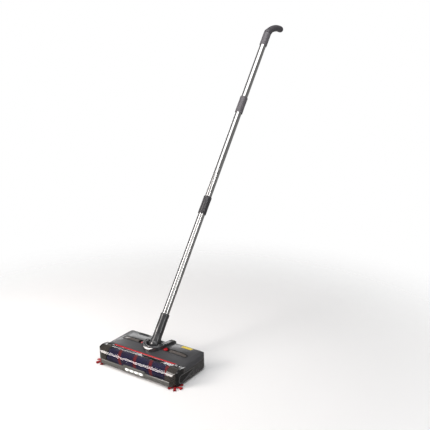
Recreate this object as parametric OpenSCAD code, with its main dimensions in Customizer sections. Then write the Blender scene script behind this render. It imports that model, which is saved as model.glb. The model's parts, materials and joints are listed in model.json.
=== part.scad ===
// Cordless floor sweeper: a low powered head with a clear-windowed brush roller, two corner
// brushes and twin dust bins, and a three-section pole that tilts and swivels on the head.
// Frame: X to the right, +Y to the back, +Z up. The origin is on the floor, on the centre
// plane, under the glide pad in the middle of the head. The pole is drawn leaning back.

/* [Head] */
// Overall width of the head
head_w = 330; // [280:5:400]
// Distance from the origin to the back of the head
head_back = 84; // [80:1:110]
// Rise of the top cover's crown above the brush window
crown_rise = 7; // [5:0.5:14]
// Gap between the chassis plate and the floor
ground_gap = 6; // [4:0.5:9]
// Depth of the top cover below its crown
cover_depth = 24; // [21:0.5:26]
// Wall of the mouldings
wall = 2.5; // [1.8:0.1:3.5]
// Corner radius of the head at the back, seen from above
back_corner_r = 44; // [15:1:60]
// Radius of the front-to-back crown of the top cover
crown_r = 192; // [150:1:300]
// Radius of the shoulders at the two ends of the top cover
shoulder_r = 150; // [100:1:250]
// Width over which each shoulder falls away
shoulder_run = 65; // [40:1:90]

/* [Brush roller] */
// Radius over the bristles
roller_r = 25.8; // [22:0.1:31]
// Width taken at each end by bearings, belt and corner brush
end_w = 41; // [40:0.5:50]
// Depth of the bristle pile
pile = 5; // [3:0.5:8]
// Gap between the bristles and the floor
roller_floor_gap = 0.2; // [0.2:0.1:1]
// Radius of the roller's steel shaft
roller_shaft_r = 3; // [2:0.1:4]
// Pitch radius of the roller pulley
roller_pulley_r = 9; // [7:0.1:11]

/* [Brush window] */
// Gap between the bristles and the window
window_gap = 3.2; // [2:0.1:5]
// Wall of the window
window_t = 2; // [1.2:0.1:3]
// Travel of the window latches
window_latch_travel = 4; // [2:0.5:6]

/* [Bumper and lights] */
// Thickness of the front bumper
bumper_t = 6; // [5:0.5:9]
// Height of the bumper's top edge
bumper_z = 22; // [18:0.5:26]
// Width of the row of lights
light_w = 78; // [50:1:110]
// Height of the light lens
light_h = 8; // [5:0.5:10]
// Number of light emitters
light_count = 4; // [2:1:6]

/* [Dust bins] */
// Front-to-back length of a bin
bin_len = 53; // [45:1:56]
// Length of the window slot in the top cover
slot_len = 95; // [80:1:104]
// Width of the window slot
slot_w = 22; // [16:1:26]
// Length of the red bin latch
bin_latch_len = 9; // [7:0.5:11]
// Travel of the red bin latch
bin_latch_travel = 7; // [3:0.5:9]

/* [Drive] */
// Radius of the drive motor
motor_r = 12; // [10:0.5:13]
// Length of the drive motor
motor_len = 36; // [28:1:44]
// Pitch radius of the motor pulley
motor_pulley_r = 5; // [4:0.1:6]
// Width of the drive belt
belt_w = 6; // [4:0.5:7]
// Thickness of the drive belt
belt_t = 1.5; // [1:0.1:2]
// Tip radius of a corner brush
side_brush_r = 28; // [20:1:28]
// Number of paired tufts on a corner brush
tuft_count = 6; // [3:1:8]

/* [Wheels] */
// Radius of a rear wheel
wheel_r = 12; // [9:0.5:14]
// Width of a rear wheel
wheel_w = 10; // [7:0.5:14]
// Distance from the centre plane to the middle of a wheel
wheel_x = 60; // [52:1:66]

/* [Power button] */
// Length of the foot button
button_len = 45; // [35:1:50]
// Width of the foot button
button_w = 14; // [10:0.5:16]
// Travel of the foot button
button_travel = 3; // [1.5:0.5:3.5]

/* [Neck joint] */
// Height of the tilt axis above the cover's crown
pivot_rise = 4; // [2:0.5:8]
// Radius of the ball at the foot of the neck
ball_r = 18.5; // [16.5:0.5:22.5]
// Free radius inside the horseshoe collar
collar_in_r = 26; // [24:0.5:32]
// Width of the collar's rim
collar_rim = 14; // [9:0.5:17]
// Rise of the collar's front above the cover's crown
collar_rise = 10; // [9:0.5:16]
// Lean of the pole as drawn, from upright
lean = 37; // [0:1:45]

/* [Pole] */
// Outside radius of the tubes
tube_r = 12.2; // [10:0.1:14]
// Wall of the tubes
tube_t = 0.8; // [0.5:0.1:1.5]
// Height of the lower coupler's middle above the tilt axis, along the pole
coupler_1 = 511; // [380:1:640]
// Height of the upper coupler's middle above the tilt axis, along the pole
coupler_2 = 929; // [780:1:1160]
// Height of the handle's bend above the tilt axis, along the pole
bend_at = 1262; // [1240:1:1560]
// Length of a coupler
coupler_len = 68; // [50:1:90]
// Wall of the couplers and sleeves around the tubes
sleeve_t = 2.5; // [1.5:0.1:4]

/* [Handle] */
// Radius of the grip
grip_r = 12.8; // [11:0.1:16]
// Radius of the grip's curve
grip_bend_r = 150; // [100:1:220]
// Angle of the grip's curve
grip_arc = 40; // [25:1:50]
// Turn of the grip away from the pole at the bend
grip_turn = 25; // [10:1:40]

/* [Hidden] */
$fn = 72;

// clearances
fit = 0.05;          // radial running fit of a pin in its bore
gap = 0.4;           // open joint between two mouldings
far = 400;           // longer than any cut needs to be

// head
half_w = head_w / 2;
roller_y = -70;
roller_z = roller_r + roller_floor_gap;
window_in_r = roller_r + window_gap;
window_r = window_in_r + window_t;
crown_z = roller_z + window_r + crown_rise;
split_z = crown_z - cover_depth;
front_y = roller_y - roller_r - 1.7 - bumper_t;
strip_y = -50;
strip_w = 4;
cover_y = strip_y + strip_w;
crown_y = 12;
cover_front_z = crown_z - pow(crown_y - strip_y, 2) / (2 * crown_r);
front_chamfer = 22;
back_lean = 16;
floor_top = ground_gap + wall;
cheek_x = half_w - wall - 3;
roller_half = half_w - end_w;
strip_half = roller_half + 7;
bracket_x = roller_half + 3;
bracket_t = 4;
latch_x = roller_half + 14;
latch_y = roller_y + 10;
belt_x = bracket_x + bracket_t + 3;
chamber_back_y = roller_y + window_in_r - 2.5;
mouth_back_y = chamber_back_y + 2.5;
mouth_sill_z = 13;

// neck
pivot_y = 4;
pivot_z = crown_z + pivot_rise;
collar_z = crown_z + collar_rise;
collar_r = collar_in_r + collar_rim;
liner_t = 2.5;
well_floor_z = pivot_z - ball_r - 4;
tilt_pin_r = 3;
arm_r = 4.8;
slot_half = 5.5;
swivel_pin_r = 3.5;
neck_r = tube_r + sleeve_t + 0.6;
yoke_top = 37;
neck_top = 105;
coupler_r = tube_r + sleeve_t;
handle_start = bend_at - 62;
tube_in = 20;

// bins
bin_x0 = collar_in_r + liner_t + 1.5;
bin_x1 = roller_half + 2;
bin_y0 = mouth_back_y + wall + 2.5;
bin_y1 = bin_y0 + bin_len;
bin_wall = 1.6;
bin_top_z = crown_z - 13.4;
dust_slot_z = crown_z - 18;
slot_x0 = collar_r + 1.5;
slot_y = 1;
slot_depth = 7;
pocket_x0 = slot_x0 + 3;
pocket_len = bin_latch_len + bin_latch_travel + 2;
door_x0 = bin_x0 + 4;
door_x1 = bin_x1 - 4;
door_y0 = bin_y0 + 4;
door_pin_r = 1.2;
door_pin_y = bin_y1 - 5;
door_pin_z = ground_gap + 1.6;
door_knuckle_r = 2.4;
ear_w = 6;

// drive
motor_y = bin_y1 + motor_r + 4;
motor_z = roller_z;
motor_shaft_r = 1.6;
brush_x = half_w - 12;
brush_y = front_y + 19.5;
brush_motor_r = 5;
brush_shaft_r = 1.5;

// wheels and rear bay
wheel_y = head_back - wheel_r - 8;
axle_r = 2;
well_wall = 1.6;
well_side = 3;
battery_w = 74;
battery_h = 20;
battery_y = bin_y1 + 7;
battery_len = head_back - wall - 9 - battery_y;

// button
button_x = -83;
button_y = 50;
button_top = crown_z - 1.5;
flange_z = crown_z - 14;
switch_top = flange_z - button_travel - 3;

// fastenings, lights and label
screw_x = half_w - 20;
screw_y = [-26, 52];
socket_x = 96;
socket_z = 24;
light_z = ground_gap + 9.5;
label_x = 101;
label_y = 50;
label_w = 40;
label_h = 16;
// each glide pad: middle X, middle Y, length along X, length along Y
glide_places = [[0, 0, 24, 40], [100, mouth_back_y + 5.2, 30, 4], [-100, mouth_back_y + 5.2, 30, 4]];

// ---- helpers -------------------------------------------------------------------------

// an outline in Y and Z, carried along X
module along_x(x0, x1) {
    translate([x0, 0, 0]) rotate([90, 0, 90]) linear_extrude(x1 - x0) children();
}

// an outline in X and Z, carried along Y
module along_y(y0, y1) {
    translate([0, y1, 0]) rotate([90, 0, 0]) linear_extrude(y1 - y0) children();
}

// a box given by its low and high corners
module block(lo, hi) {
    translate(lo) cube(hi - lo);
}

// a rod along X from x0 to x1
module rod_x(x0, x1, y, z, r) {
    translate([x0, y, z]) rotate([0, 90, 0]) cylinder(h = x1 - x0, r = r);
}

// children here, and again mirrored in the centre plane
module both() {
    children();
    mirror([1, 0, 0]) children();
}

// the children on the left are those of the right, mirrored
module on_side(side) {
    if (side < 0) mirror([1, 0, 0]) children();
    else children();
}

// a stadium outline between two points on one X line
module pill(x0, x1, y, r) {
    translate([x0 + r, y - r]) square([x1 - x0 - 2 * r, 2 * r]);
    translate([x0 + r, y]) circle(r);
    translate([x1 - r, y]) circle(r);
}

// the band round two circles, carried along X from x0 to x1: the first circle is at from, the
// second at to, both given as Y and Z
module belt_body(x0, x1, from, to, r1, r2) {
    run = to - from;
    d = norm(run);
    a = acos((r1 - r2) / d);
    c1 = 0.985 * r1;
    c2 = 0.985 * r2;
    rod_x(x0, x1, from[0], from[1], r1);
    rod_x(x0, x1, to[0], to[1], r2);
    along_x(x0, x1) translate(from) rotate(atan2(run[1], run[0]))
        polygon([[c1 * cos(a), c1 * sin(a)], [d + c2 * cos(a), c2 * sin(a)],
            [d + c2 * cos(a), -c2 * sin(a)], [c1 * cos(a), -c1 * sin(a)]]);
}

// the pole's own frame: Z along the pole from the tilt axis, X kept, Y to the back
module pole_frame() {
    translate([0, pivot_y, pivot_z]) rotate([-lean, 0, 0]) children();
}

// half a ball standing on its flat face
module dome(r) {
    rotate_extrude($fn = 96) intersection() {
        circle(r);
        square(r);
    }
}

// a tube along the pole
module pole_tube(s0, s1, r_out, r_in) {
    translate([0, 0, s0]) difference() {
        cylinder(h = s1 - s0, r = r_out);
        translate([0, 0, -1]) cylinder(h = s1 - s0 + 2, r = r_in);
    }
}

// ---- outer shape of the head ---------------------------------------------------------

// seen from above, taken in by d
module plan_outline(d) {
    x = half_w - d;
    y0 = front_y + d;
    y1 = head_back - d;
    r = back_corner_r - d;
    c = front_chamfer - d * 0.6;
    polygon([[-x, y1 - r], [-x, y0 + c * 0.8], [-x + c, y0], [x - c, y0], [x, y0 + c * 0.8],
        [x, y1 - r]]);
    translate([-x + r, y1 - r - 1]) square([2 * (x - r), r + 1]);
    translate([x - r, y1 - r]) circle(r);
    translate([-x + r, y1 - r]) circle(r);
}

// seen from the side, taken in by d: a crowned top and a back that leans in
module side_outline(d) {
    intersection() {
        translate([crown_y, crown_z - crown_r]) circle(crown_r - d, $fn = 180);
        polygon([[front_y - 10, 0], [head_back - d, 0], [head_back - d, 16],
            [head_back - back_lean + 4 - d, crown_z - 16], [head_back - back_lean - 5 - d, crown_z - 7],
            [head_back - back_lean - 12 - d, crown_z + 5], [front_y - 10, crown_z + 5]]);
    }
}

// seen from the front, taken in by d: flat in the middle with falling shoulders
module front_outline(d) {
    flat = half_w - shoulder_run;
    intersection() {
        union() {
            translate([-flat, 0]) square([2 * flat, crown_z - d]);
            translate([flat, crown_z - shoulder_r]) circle(shoulder_r - d, $fn = 144);
            translate([-flat, crown_z - shoulder_r]) circle(shoulder_r - d, $fn = 144);
        }
        polygon([[-half_w + d, 0], [half_w - d, 0], [half_w - d, crown_z - 22],
            [half_w - 4 - d, crown_z - 15], [half_w - 12 - d, crown_z + 5],
            [-half_w + 12 + d, crown_z + 5], [-half_w + 4 + d, crown_z - 15],
            [-half_w + d, crown_z - 22]]);
    }
}

// the whole outer form of the head, taken in by d, between two heights
module head_form(d, z0, z1) {
    intersection() {
        along_x(-half_w, half_w) side_outline(d);
        along_y(front_y - 10, head_back + 10) front_outline(d);
        translate([0, 0, z0]) linear_extrude(z1 - z0) plan_outline(d);
    }
}

// the window's solid form between two planes of X: a drum round the roller and a flat tail
// that runs up to the trim strip
module window_form(x0, x1, r, tail_drop) {
    dy = strip_y - roller_y;
    dz = cover_front_z - tail_drop - roller_z;
    a = atan2(dz, dy) + acos(r / norm([dy, dz]));
    lift = r + 0.15;
    translate([x0, roller_y, roller_z]) rotate([0, 90, 0]) cylinder(h = x1 - x0, r = r, $fn = 144);
    along_x(x0, x1) translate([roller_y, roller_z])
        polygon([[0, 0], [lift * cos(a), lift * sin(a)], [dy, dz], [dy, 0]]);
}

// a sheet of the window between two planes of X, open below and behind
module window_sheet(x0, x1, z0) {
    difference() {
        intersection() {
            window_form(x0, x1, window_r, 0);
            block([x0, front_y, z0], [x1, strip_y - 0.2, crown_z + 10]);
        }
        window_form(x0 - 1, x1 + 1, window_in_r, window_t);
    }
}

// the horseshoe of the collar seen from above: a ring in front, straight arms behind
module horseshoe(r) {
    translate([0, pivot_y]) circle(r, $fn = 120);
    translate([-r, pivot_y]) square([2 * r, far]);
}

// the teardrop of a side panel between two planes of X, grown by d
module teardrop(x0, x1, d) {
    belt_body(x0, x1, [roller_y + 3, roller_z - 2], [-4, split_z - 8], 15 + d, 3.5 + d);
}

// ---- head: chassis and covers --------------------------------------------------------

module cheek() {
    intersection() {
        union() {
            intersection() {
                window_form(cheek_x, half_w, window_r + 0.8, -0.8);
                block([cheek_x, front_y, 0], [half_w, cover_y - 0.1, far]);
            }
            along_x(cheek_x, half_w)
                polygon([[roller_y - window_r, ground_gap], [strip_y, ground_gap],
                    [strip_y, roller_z], [roller_y - window_r - 0.8, roller_z]]);
            block([cheek_x, strip_y - 1, ground_gap], [half_w, cover_y, cover_front_z]);
            // side wall of the belt bay
            block([cheek_x, cover_y - 1, ground_gap], [half_w, mouth_back_y + 1, split_z]);
        }
        translate([0, 0, ground_gap]) linear_extrude(crown_z) plan_outline(0);
    }
}

module corner_floor() {
    intersection() {
        translate([0, 0, ground_gap]) linear_extrude(wall) plan_outline(0);
        block([bracket_x, front_y + bumper_t, 0], [half_w, mouth_back_y + 1, far]);
    }
    intersection() {
        translate([0, 0, ground_gap]) linear_extrude(6) difference() {
            plan_outline(0);
            plan_outline(wall);
        }
        block([half_w - front_chamfer, front_y, 0], [half_w, brush_y + 6, far]);
    }
}

module end_bracket(y1) {
    along_x(bracket_x, bracket_x + bracket_t) difference() {
        intersection() {
            translate([roller_y, roller_z]) union() {
                circle(window_in_r - 1.5, $fn = 120);
                translate([0, -window_r]) square([y1 - roller_y, window_r + 12]);
            }
            translate([front_y + bumper_t, ground_gap]) square([far, crown_z]);
        }
        // clear of the cover behind the window
        translate([strip_y - 0.2, dust_slot_z - gap]) square(far);
    }
}

module door_ears() {
    for (x = [door_x0 - 2, door_x1 + 2 - ear_w])
        rod_x(x, x + ear_w, door_pin_y, door_pin_z, 3);
}

module door_opening() {
    block([door_x0, door_y0, 0], [door_x1, door_pin_y - 1, floor_top + 1]);
    block([door_x0 - 2 + ear_w + gap, door_y0, 0],
        [door_x1 + 2 - ear_w - gap, door_pin_y + 4, floor_top + 1]);
}

module wheel_well(grow) {
    w = wheel_w / 2 + well_side + grow;
    block([wheel_x - w, wheel_y - wheel_r - 3 - grow, ground_gap - 1 + grow],
        [wheel_x + w, wheel_y + wheel_r + 3 + grow, 2 * wheel_r + 3 + grow]);
}

module base_housing() {
    color("#4a4a4e") difference() {
        union() {
            // tray behind the roller
            difference() {
                intersection() {
                    head_form(0, ground_gap, split_z);
                    block([-half_w, mouth_back_y, 0], [half_w, far, far]);
                }
                difference() {
                    head_form(wall, floor_top, split_z + 1);
                    block([-half_w, front_y, 0], [half_w, mouth_back_y + wall, far]);
                }
                // throat that lets the dust over the sill
                block([-bracket_x, mouth_back_y - 1, mouth_sill_z],
                    [bracket_x, mouth_back_y + wall + 1, far]);
                // belt bay runs forward at the right-hand end
                block([bracket_x + bracket_t, mouth_back_y - 1, floor_top],
                    [cheek_x, mouth_back_y + wall + 1, far]);
                block([-cheek_x, mouth_back_y - 1, floor_top],
                    [-bracket_x - bracket_t, mouth_back_y + wall + 1, far]);
            }
            both() cheek();
            both() corner_floor();
            end_bracket(motor_y + motor_r + 2);
            mirror([1, 0, 0]) end_bracket(-roller_y + 2 * mouth_back_y + 6);
            both() door_ears();
            both() intersection() {
                wheel_well(well_wall);
                head_form(0.5, ground_gap, split_z);
            }
            // post under the power switch
            translate([button_x, button_y, ground_gap]) cylinder(h = switch_top - 6 - ground_gap, r = 4);
            // posts under the control board
            for (x = [-19, 19], y = [-29, 3])
                translate([x, y, ground_gap]) cylinder(h = 18, r = 3);
            // bosses for the housing screws
            for (x = [-1, 1], y = screw_y)
                translate([x * screw_x, y, ground_gap]) cylinder(h = split_z - ground_gap, r = 4);
        }
        both() door_opening();
        both() wheel_well(0);
        both() rod_x(wheel_x - wheel_w, wheel_x + wheel_w, wheel_y, wheel_r, axle_r);
        both() rod_x(door_x0 - 1, door_x1 + 1, door_pin_y, door_pin_z, door_pin_r);
        // battery opening
        block([-battery_w / 2 - 3, battery_y - 2, 0],
            [battery_w / 2 + 3, battery_y + battery_len, floor_top + 1]);
        // seats of the roller bushes
        both() rod_x(bracket_x - 1, bracket_x + bracket_t + 1, roller_y, roller_z, roller_shaft_r + 3);
        // passage of the motor's nose
        rod_x(bracket_x - 1, bracket_x + bracket_t + 1, motor_y, motor_z, 4);
        // passage of the corner brush shafts
        both() translate([brush_x, brush_y, 0]) cylinder(h = floor_top + 1, r = 3);
        // seat of the charging socket
        block([socket_x - 6, head_back - 14, socket_z - 5], [socket_x + 6, far, socket_z + 5]);
        // seats of the side panels
        both() teardrop(half_w - 1.7, half_w + 1, gap);
        // seats of the glide pads
        for (p = glide_places)
            translate([p[0] - p[2] / 2 - 0.2, p[1] - p[3] / 2 - 0.2, 0])
                cube([p[2] + 0.4, p[3] + 0.4, ground_gap + 1]);
        // pilot holes of the housing screws
        for (x = [-1, 1], y = screw_y)
            translate([x * screw_x, y, 0]) cylinder(h = split_z + 1, r = 1.5);
        for (x = [-1, 1], y = screw_y)
            translate([x * screw_x, y, 0]) cylinder(h = ground_gap + 3, r = 3.2);
    }
}

module top_cover() {
    color("#5c5c60") difference() {
        union() {
            difference() {
                intersection() {
                    head_form(0, split_z, far);
                    block([-half_w, strip_y, 0], [half_w, far, far]);
                }
                intersection() {
                    head_form(wall, split_z - 1, far);
                    block([-half_w, cover_y, 0], [half_w, far, far]);
                }
                // seat of the trim strip
                block([-strip_half, strip_y - 1, cover_front_z - 1.6], [strip_half, cover_y, far]);
                // clear of the cheeks
                both() block([cheek_x - 0.2, strip_y - 1, 0], [far, cover_y, far]);
                // the front wall hangs only over the dust throat
                block([-far, strip_y - 1, 0], [far, cover_y + 1, dust_slot_z]);
            }
        }
        both() translate([0, 0, crown_z - 20]) linear_extrude(40)
            pill(slot_x0, slot_x0 + slot_len, slot_y, slot_w / 2);
        translate([0, 0, crown_z - 20]) linear_extrude(40)
            pill(button_x - button_len / 2 - gap, button_x + button_len / 2 + gap, button_y,
                button_w / 2 + gap);
        translate([0, 0, well_floor_z - liner_t]) linear_extrude(60) horseshoe(collar_in_r + liner_t);
    }
}

module neck_collar() {
    color("#4a4a4e") difference() {
        union() {
            // rim that stands on the cover
            difference() {
                intersection() {
                    translate([0, 0, crown_z - 20]) linear_extrude(60) horseshoe(collar_r);
                    along_x(-collar_r, collar_r) collar_side();
                }
                head_form(0, 0, far);
            }
            // liner that drops through the cover
            intersection() {
                translate([0, 0, well_floor_z - liner_t]) linear_extrude(60)
                    horseshoe(collar_in_r + liner_t);
                along_x(-collar_r, collar_r) collar_side();
            }
        }
        translate([0, 0, well_floor_z]) linear_extrude(60) horseshoe(collar_in_r);
        rod_x(-collar_r + 2, collar_r - 2, pivot_y, pivot_z, tilt_pin_r);
    }
}

// the collar from the side: level round the joint, falling a little to the back
module collar_side() {
    back = head_back - back_lean;
    polygon([[pivot_y - collar_r, 0], [back + 3, 0], [back + 3, crown_z - 17], [back + 1, crown_z - 3],
        [back - 5, collar_z - 8], [pivot_y + 40, collar_z - 4], [pivot_y + 12, collar_z],
        [pivot_y - collar_r + 6, collar_z - 1], [pivot_y - collar_r, collar_z - 8]]);
}

module red_trim_strip() {
    color("#c8202a") intersection() {
        block([-strip_half + 0.2, strip_y, cover_front_z - 1.5], [strip_half - 0.2, cover_y - 0.2, far]);
        head_form(-0.4, 0, far);
    }
}

module light_housing(d) {
    along_y(front_y - 0.5, front_y + bumper_t)
        polygon([[-light_w / 2 - 9 - d, ground_gap], [-light_w / 2 - 5 - d, bumper_z + 6 + d],
            [light_w / 2 + 5 + d, bumper_z + 6 + d], [light_w / 2 + 9 + d, ground_gap]]);
}

module front_bumper() {
    color("#6b6b66") difference() {
        union() {
            intersection() {
                along_x(-half_w, half_w)
                    polygon([[front_y + 1.5, ground_gap], [front_y + bumper_t, ground_gap],
                        [front_y + bumper_t, bumper_z], [front_y + 2, bumper_z], [front_y, bumper_z - 3],
                        [front_y, ground_gap + 2]]);
                block([-half_w + front_chamfer, front_y - 1, 0],
                    [half_w - front_chamfer, front_y + bumper_t, far]);
            }
            light_housing(0);
        }
        // bay of the light board, open to the back
        block([-light_w / 2 - 2, front_y + 2, light_z - 7],
            [light_w / 2 + 2, front_y + bumper_t + 1, light_z + 7]);
        along_y(front_y - 1, front_y + 3)
            pill(-light_w / 2 - 0.2, light_w / 2 + 0.2, light_z, light_h / 2 + 0.2);
    }
}

module light_lens() {
    color("#fafafa") along_y(front_y - 0.9, front_y + 2.2)
        pill(-light_w / 2, light_w / 2, light_z, light_h / 2);
}

module light_board() {
    color("#2e7d4f") block([-light_w / 2, front_y + 4, light_z - 5],
        [light_w / 2, front_y + 5.6, light_z + 5]);
    pitch = light_w / light_count;
    color("#f4f4e0") for (i = [0 : light_count - 1])
        block([-light_w / 2 + pitch * (i + 0.5) - 1.75, front_y + 2.6, light_z - 1.75],
            [-light_w / 2 + pitch * (i + 0.5) + 1.75, front_y + 4, light_z + 1.75]);
}

module side_panel(side) {
    color("#55555a") on_side(side) difference() {
        teardrop(half_w - 1.7, half_w + 0.5, 0);
        teardrop(half_w - 0.1, half_w + 1, -3);
    }
}

// ---- head: bins ----------------------------------------------------------------------

module bin_bezel(side) {
    color("#202022") on_side(side) intersection() {
        difference() {
            translate([0, 0, crown_z - slot_depth - 6]) linear_extrude(far)
                pill(slot_x0 + 0.1, slot_x0 + slot_len - 0.1, slot_y, slot_w / 2 - 0.1);
            // lens seat
            translate([0, 0, crown_z - slot_depth - 7]) linear_extrude(far) lens_outline(gap);
            // latch pocket
            block([pocket_x0, slot_y - slot_w / 2 + 3, crown_z - slot_depth],
                [pocket_x0 + pocket_len, slot_y + slot_w / 2 - 3, far]);
        }
        head_form(-0.3, 0, far);
    }
}

module lens_outline(d) {
    x0 = pocket_x0 + pocket_len + 3;
    x1 = slot_x0 + slot_len - 4;
    r = slot_w / 2 - 4 + d;
    translate([x0 - d, slot_y - r]) square([x1 - x0 - r + 2 * d, 2 * r]);
    translate([x1 - r + d, slot_y]) circle(r);
}

module bin_lens(side) {
    color("#a49c90", 0.6) on_side(side) intersection() {
        translate([0, 0, crown_z - slot_depth - 5]) linear_extrude(far) lens_outline(0);
        head_form(0.6, 0, far);
    }
}

module dust_bin(side) {
    color("#3c3c40") on_side(side) difference() {
        block([bin_x0, bin_y0, floor_top], [bin_x1, bin_y1, bin_top_z]);
        block([bin_x0 + bin_wall, bin_y0 + bin_wall, 0], [bin_x1 - bin_wall, bin_y1 - bin_wall, far]);
        // mouth towards the roller
        block([bin_x0 + bin_wall, bin_y0 - 1, mouth_sill_z],
            [bin_x1 - bin_wall, bin_y0 + bin_wall + 1, dust_slot_z]);
    }
}

module bin_door(side) {
    x0 = door_x0 + gap;
    x1 = door_x1 - gap;
    k0 = door_x0 - 2 + ear_w + 2 * gap;
    k1 = door_x1 + 2 - ear_w - 2 * gap;
    color("#37373a") on_side(side) difference() {
        union() {
            block([x0, door_y0 + gap, ground_gap], [x1, door_pin_y - 3.4, ground_gap + 2]);
            block([k0, door_pin_y - 4, ground_gap], [k1, door_pin_y, ground_gap + 2]);
            rod_x(k0, k1, door_pin_y, door_pin_z, door_knuckle_r);
            // finger ridge
            block([x0 + 20, door_y0 + 5, ground_gap - 1.2], [x1 - 20, door_y0 + 7, ground_gap]);
        }
        rod_x(k0 - 1, k1 + 1, door_pin_y, door_pin_z, door_pin_r + fit);
    }
}

module door_pins() {
    color("#c8c8cc") both() rod_x(door_x0 - 1, door_x1 + 1, door_pin_y, door_pin_z, door_pin_r);
}

module bin_latch(side) {
    w = slot_w - 7;
    color("#d01018") on_side(side) translate([pocket_x0 + 0.4, slot_y + w / 2, crown_z - slot_depth + 0.2])
        rotate([90, 0, 0]) linear_extrude(w)
        polygon([[0, 0], [bin_latch_len, 0], [bin_latch_len, 3.5], [bin_latch_len - 4, 8], [0, 8]]);
}

// ---- head: roller, drive and corner brushes ------------------------------------------

module dust_lip() {
    color("#1c1c1c") along_x(-bracket_x + 0.5, bracket_x - 0.5)
        polygon([[mouth_back_y - 4, 1], [mouth_back_y - 2, 1], [mouth_back_y, mouth_sill_z - 3],
            [mouth_back_y, mouth_sill_z], [mouth_back_y - 2.5, mouth_sill_z]]);
}

module glide_pads() {
    color("#2a2a2a") for (p = glide_places)
        translate([p[0] - p[2] / 2, p[1] - p[3] / 2, 0]) cube([p[2], p[3], ground_gap + 1]);
}

module roller_core() {
    color("#b8b8bc") difference() {
        union() {
            rod_x(-roller_half, roller_half, roller_y, roller_z, roller_r - pile);
            rod_x(-bracket_x - bracket_t - 2, belt_x + belt_w + 2, roller_y, roller_z, roller_shaft_r);
        }
        both() rod_x(-roller_half - 0.5, -roller_half + 6, roller_y, roller_z, roller_r - pile - 3);
        difference() {
            rod_x(-roller_half + 12, roller_half - 12, roller_y, roller_z, roller_r - pile - 2);
            rod_x(-roller_half, roller_half, roller_y, roller_z, roller_shaft_r);
        }
    }
    color("#b8b8bc") rod_x(-roller_half - 1, roller_half + 1, roller_y, roller_z, roller_shaft_r);
}

module roller_sleeve() {
    color("#14103a") difference() {
        rod_x(-roller_half, roller_half, roller_y, roller_z, roller_r);
        rod_x(-roller_half - 1, roller_half + 1, roller_y, roller_z, roller_r - pile);
    }
}

module roller_bushes() {
    color("#b08d4a") both() difference() {
        rod_x(bracket_x, bracket_x + bracket_t, roller_y, roller_z, roller_shaft_r + 3);
        rod_x(bracket_x - 1, bracket_x + bracket_t + 1, roller_y, roller_z, roller_shaft_r + fit);
    }
}

// a pulley with two flanges, on the shaft line at y and z
module pulley(y, z, r, bore) {
    difference() {
        union() {
            rod_x(belt_x, belt_x + belt_w, y, z, r);
            rod_x(belt_x - 1.2, belt_x - 0.2, y, z, r + belt_t);
            rod_x(belt_x + belt_w + 0.2, belt_x + belt_w + 1.2, y, z, r + belt_t);
            rod_x(belt_x - 1.2, belt_x + belt_w + 1.2, y, z, r - 1);
        }
        rod_x(belt_x - 2, belt_x + belt_w + 2, y, z, bore);
    }
}

module roller_pulley() {
    color("#e0e0dc") pulley(roller_y, roller_z, roller_pulley_r, roller_shaft_r);
}

module motor_pulley() {
    color("#e0e0dc") pulley(motor_y, motor_z, motor_pulley_r, motor_shaft_r + fit);
}

module drive_motor() {
    color("#9a9a9e") {
        rod_x(bracket_x - motor_len, bracket_x, motor_y, motor_z, motor_r);
        rod_x(bracket_x, bracket_x + bracket_t, motor_y, motor_z, 3.8);
        rod_x(bracket_x, belt_x + belt_w + 2, motor_y, motor_z, motor_shaft_r);
    }
}

module drive_belt() {
    from = [roller_y, roller_z];
    to = [motor_y, motor_z];
    color("#1a1a1a") difference() {
        belt_body(belt_x, belt_x + belt_w, from, to, roller_pulley_r + fit + belt_t,
            motor_pulley_r + fit + belt_t);
        belt_body(belt_x - 1, belt_x + belt_w + 1, from, to, roller_pulley_r + fit, motor_pulley_r + fit);
    }
}

module side_brush_motors() {
    color("#9a9a9e") both() translate([brush_x, brush_y, 0]) {
        translate([0, 0, floor_top]) cylinder(h = 24, r = brush_motor_r);
        translate([0, 0, 3]) cylinder(h = floor_top - 3, r = brush_shaft_r);
    }
}

module side_brush(side) {
    hub_top = ground_gap - 0.5;
    color("#c00010") on_side(side) translate([brush_x, brush_y, 0]) {
        difference() {
            union() {
                translate([0, 0, 2]) cylinder(h = hub_top - 2, r = 7);
                translate([0, 0, 2]) cylinder(h = floor_top - 2.6, r = 2.7);
                for (i = [0 : tuft_count - 1], s = [-1, 1])
                    rotate([0, 0, i * 360 / tuft_count + s * 4.5])
                        translate([5, s * 0.6, 3.4]) rotate([0, 93, 0])
                            cylinder(h = side_brush_r - 5.2, r = 1.2, $fn = 24);
            }
            translate([0, 0, 2.8]) cylinder(h = far, r = brush_shaft_r + fit);
        }
    }
}

// ---- head: inside --------------------------------------------------------------------

module battery_pack() {
    color("#2b5fa8") block([-battery_w / 2, battery_y, floor_top + 0.5],
        [battery_w / 2, battery_y + battery_len - 4, floor_top + 0.5 + battery_h]);
}

module battery_door() {
    color("#37373a") block([-battery_w / 2 - 3 + gap, battery_y - 2 + gap, ground_gap],
        [battery_w / 2 + 3 - gap, battery_y + battery_len - gap, floor_top]);
}

module control_board() {
    z = ground_gap + 18;
    color("#2e7d4f") block([-23, -33, z], [23, 7, z + 1.6]);
    color("#202020") block([-10, -20, z + 1.6], [2, -8, z + 3.4]);
    color("#303060") for (x = [10, 17])
        translate([x, -22, z + 1.6]) cylinder(h = 10, r = 3);
    color("#d8d8d0") block([-20, -2, z + 1.6], [-8, 5, z + 7]);
}

module charging_socket() {
    color("#101012") difference() {
        block([socket_x - 6, head_back - 14, socket_z - 5], [socket_x + 6, head_back - 3, socket_z + 5]);
        translate([socket_x, head_back - 12, socket_z]) rotate([-90, 0, 0]) cylinder(h = 20, r = 2.9);
    }
    color("#c8c8cc") translate([socket_x, head_back - 12, socket_z]) rotate([-90, 0, 0])
        cylinder(h = 7, r = 0.9);
}

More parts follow.
